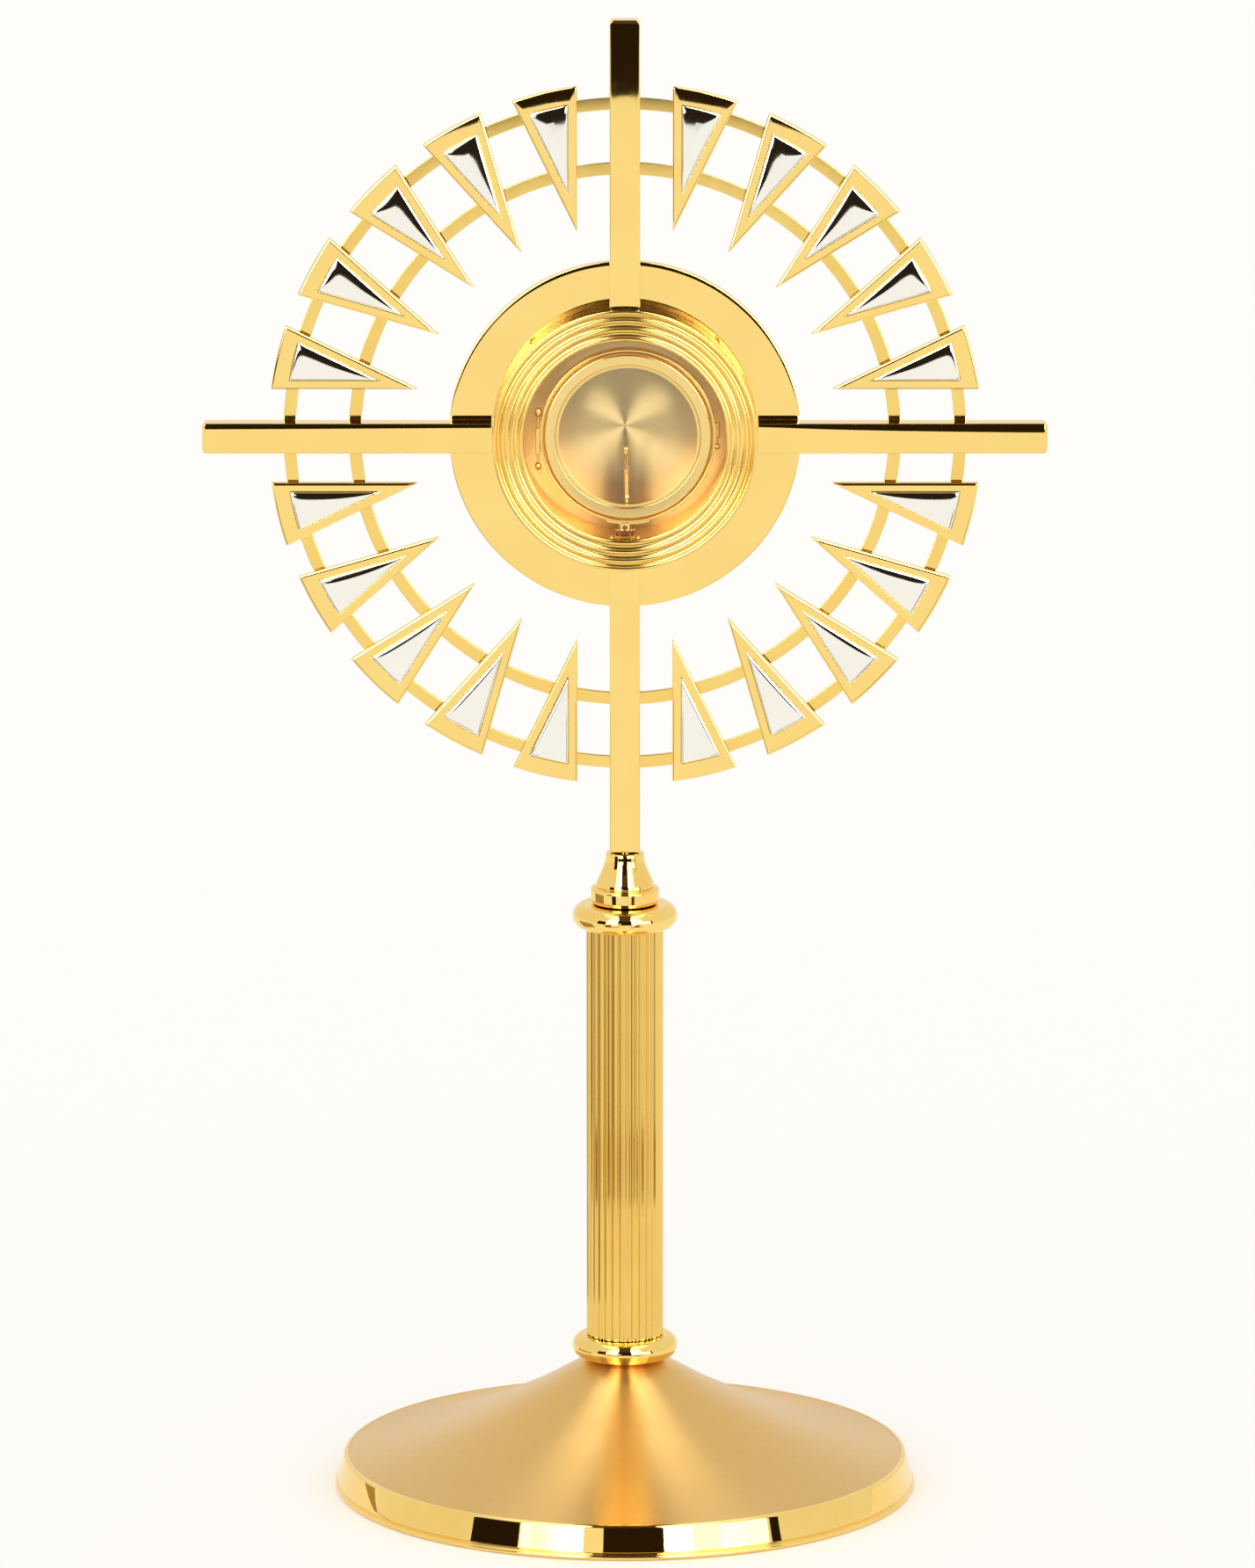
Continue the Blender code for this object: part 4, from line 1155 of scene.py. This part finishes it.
def softbox(name, turn, low, high, distance, width, brightness):
    """A bright upright panel: its bearing from the front in degrees, its heights and its radiance."""
    angle = radians(turn)
    middle = (low + high) / 2
    spot = (distance * sin(angle), -distance * cos(angle), middle)
    area_light(name, spot, (0.0, 0.0, middle - 0.2), width, high - low, brightness)


def make_studio():
    """A pale floor and sky, soft boxes in front, two panels overhead and dark cards between them."""
    world = bpy.data.worlds.new("studio")
    world.use_nodes = True
    background = world.node_tree.nodes["Background"]
    background.inputs["Color"].default_value = (*WORLD_COLOR, 1.0)
    background.inputs["Strength"].default_value = 0.9
    scene.world = world
    corners = [(x * FLOOR_HALF, y * FLOOR_HALF, -0.0001) for x, y in ((-1, -1), (1, -1), (1, 1), (-1, 1))]
    stage_card("floor", corners, [(0, 1, 2, 3)], plain_material("floor", (0.93, 0.93, 0.92), 0.17))
    make_hood("hood", HOOD_PROFILE, (0.022, 0.014, 0.008))
    make_hood("roof", ROOF_PROFILE, (0.08, 0.06, 0.035))
    for flag in FLOOR_FLAGS:
        floor_flag(*flag)
    for flag in UPRIGHT_FLAGS:
        upright_flag(*flag)
    for box in SOFTBOXES:
        softbox(*box)
    for label, x in (("left", -1.75), ("right", 1.75)):
        area_light(f"overhead_{label}", (x, -1.0, 5.8), (x, -1.0, 0.0), 1.7, 6.0, 1.5)


def make_camera():
    """A long lens, a little above the monstrance."""
    camera = bpy.data.cameras.new("camera")
    camera.lens = 315.4
    camera.sensor_width = 36.0
    camera.clip_end = 100.0
    viewer = bpy.data.objects.new("camera", camera)
    viewer.location = (0.00103, -5.2649, 1.4523)
    viewer.rotation_euler = (radians(90 - 12.51), 0.0, 0.0)
    scene.collection.objects.link(viewer)
    scene.camera = viewer
    scene.view_settings.view_transform = "Standard"


def main():
    """Everything, in the order that the pieces were first made."""
    make_camera()
    make_studio()
    make_base()
    make_bead("lower_collar", 0.0044)
    make_column()
    make_bead("knop", 0.0048)
    make_cup()
    make_tie_rod()
    make_arms()
    make_rays()
    make_rings()
    make_disc()
    make_bezel()
    make_bezel_screws()
    make_case_pane()
    make_drum()
    make_hinge()
    make_door()
    make_latch()
    make_luna()


main()
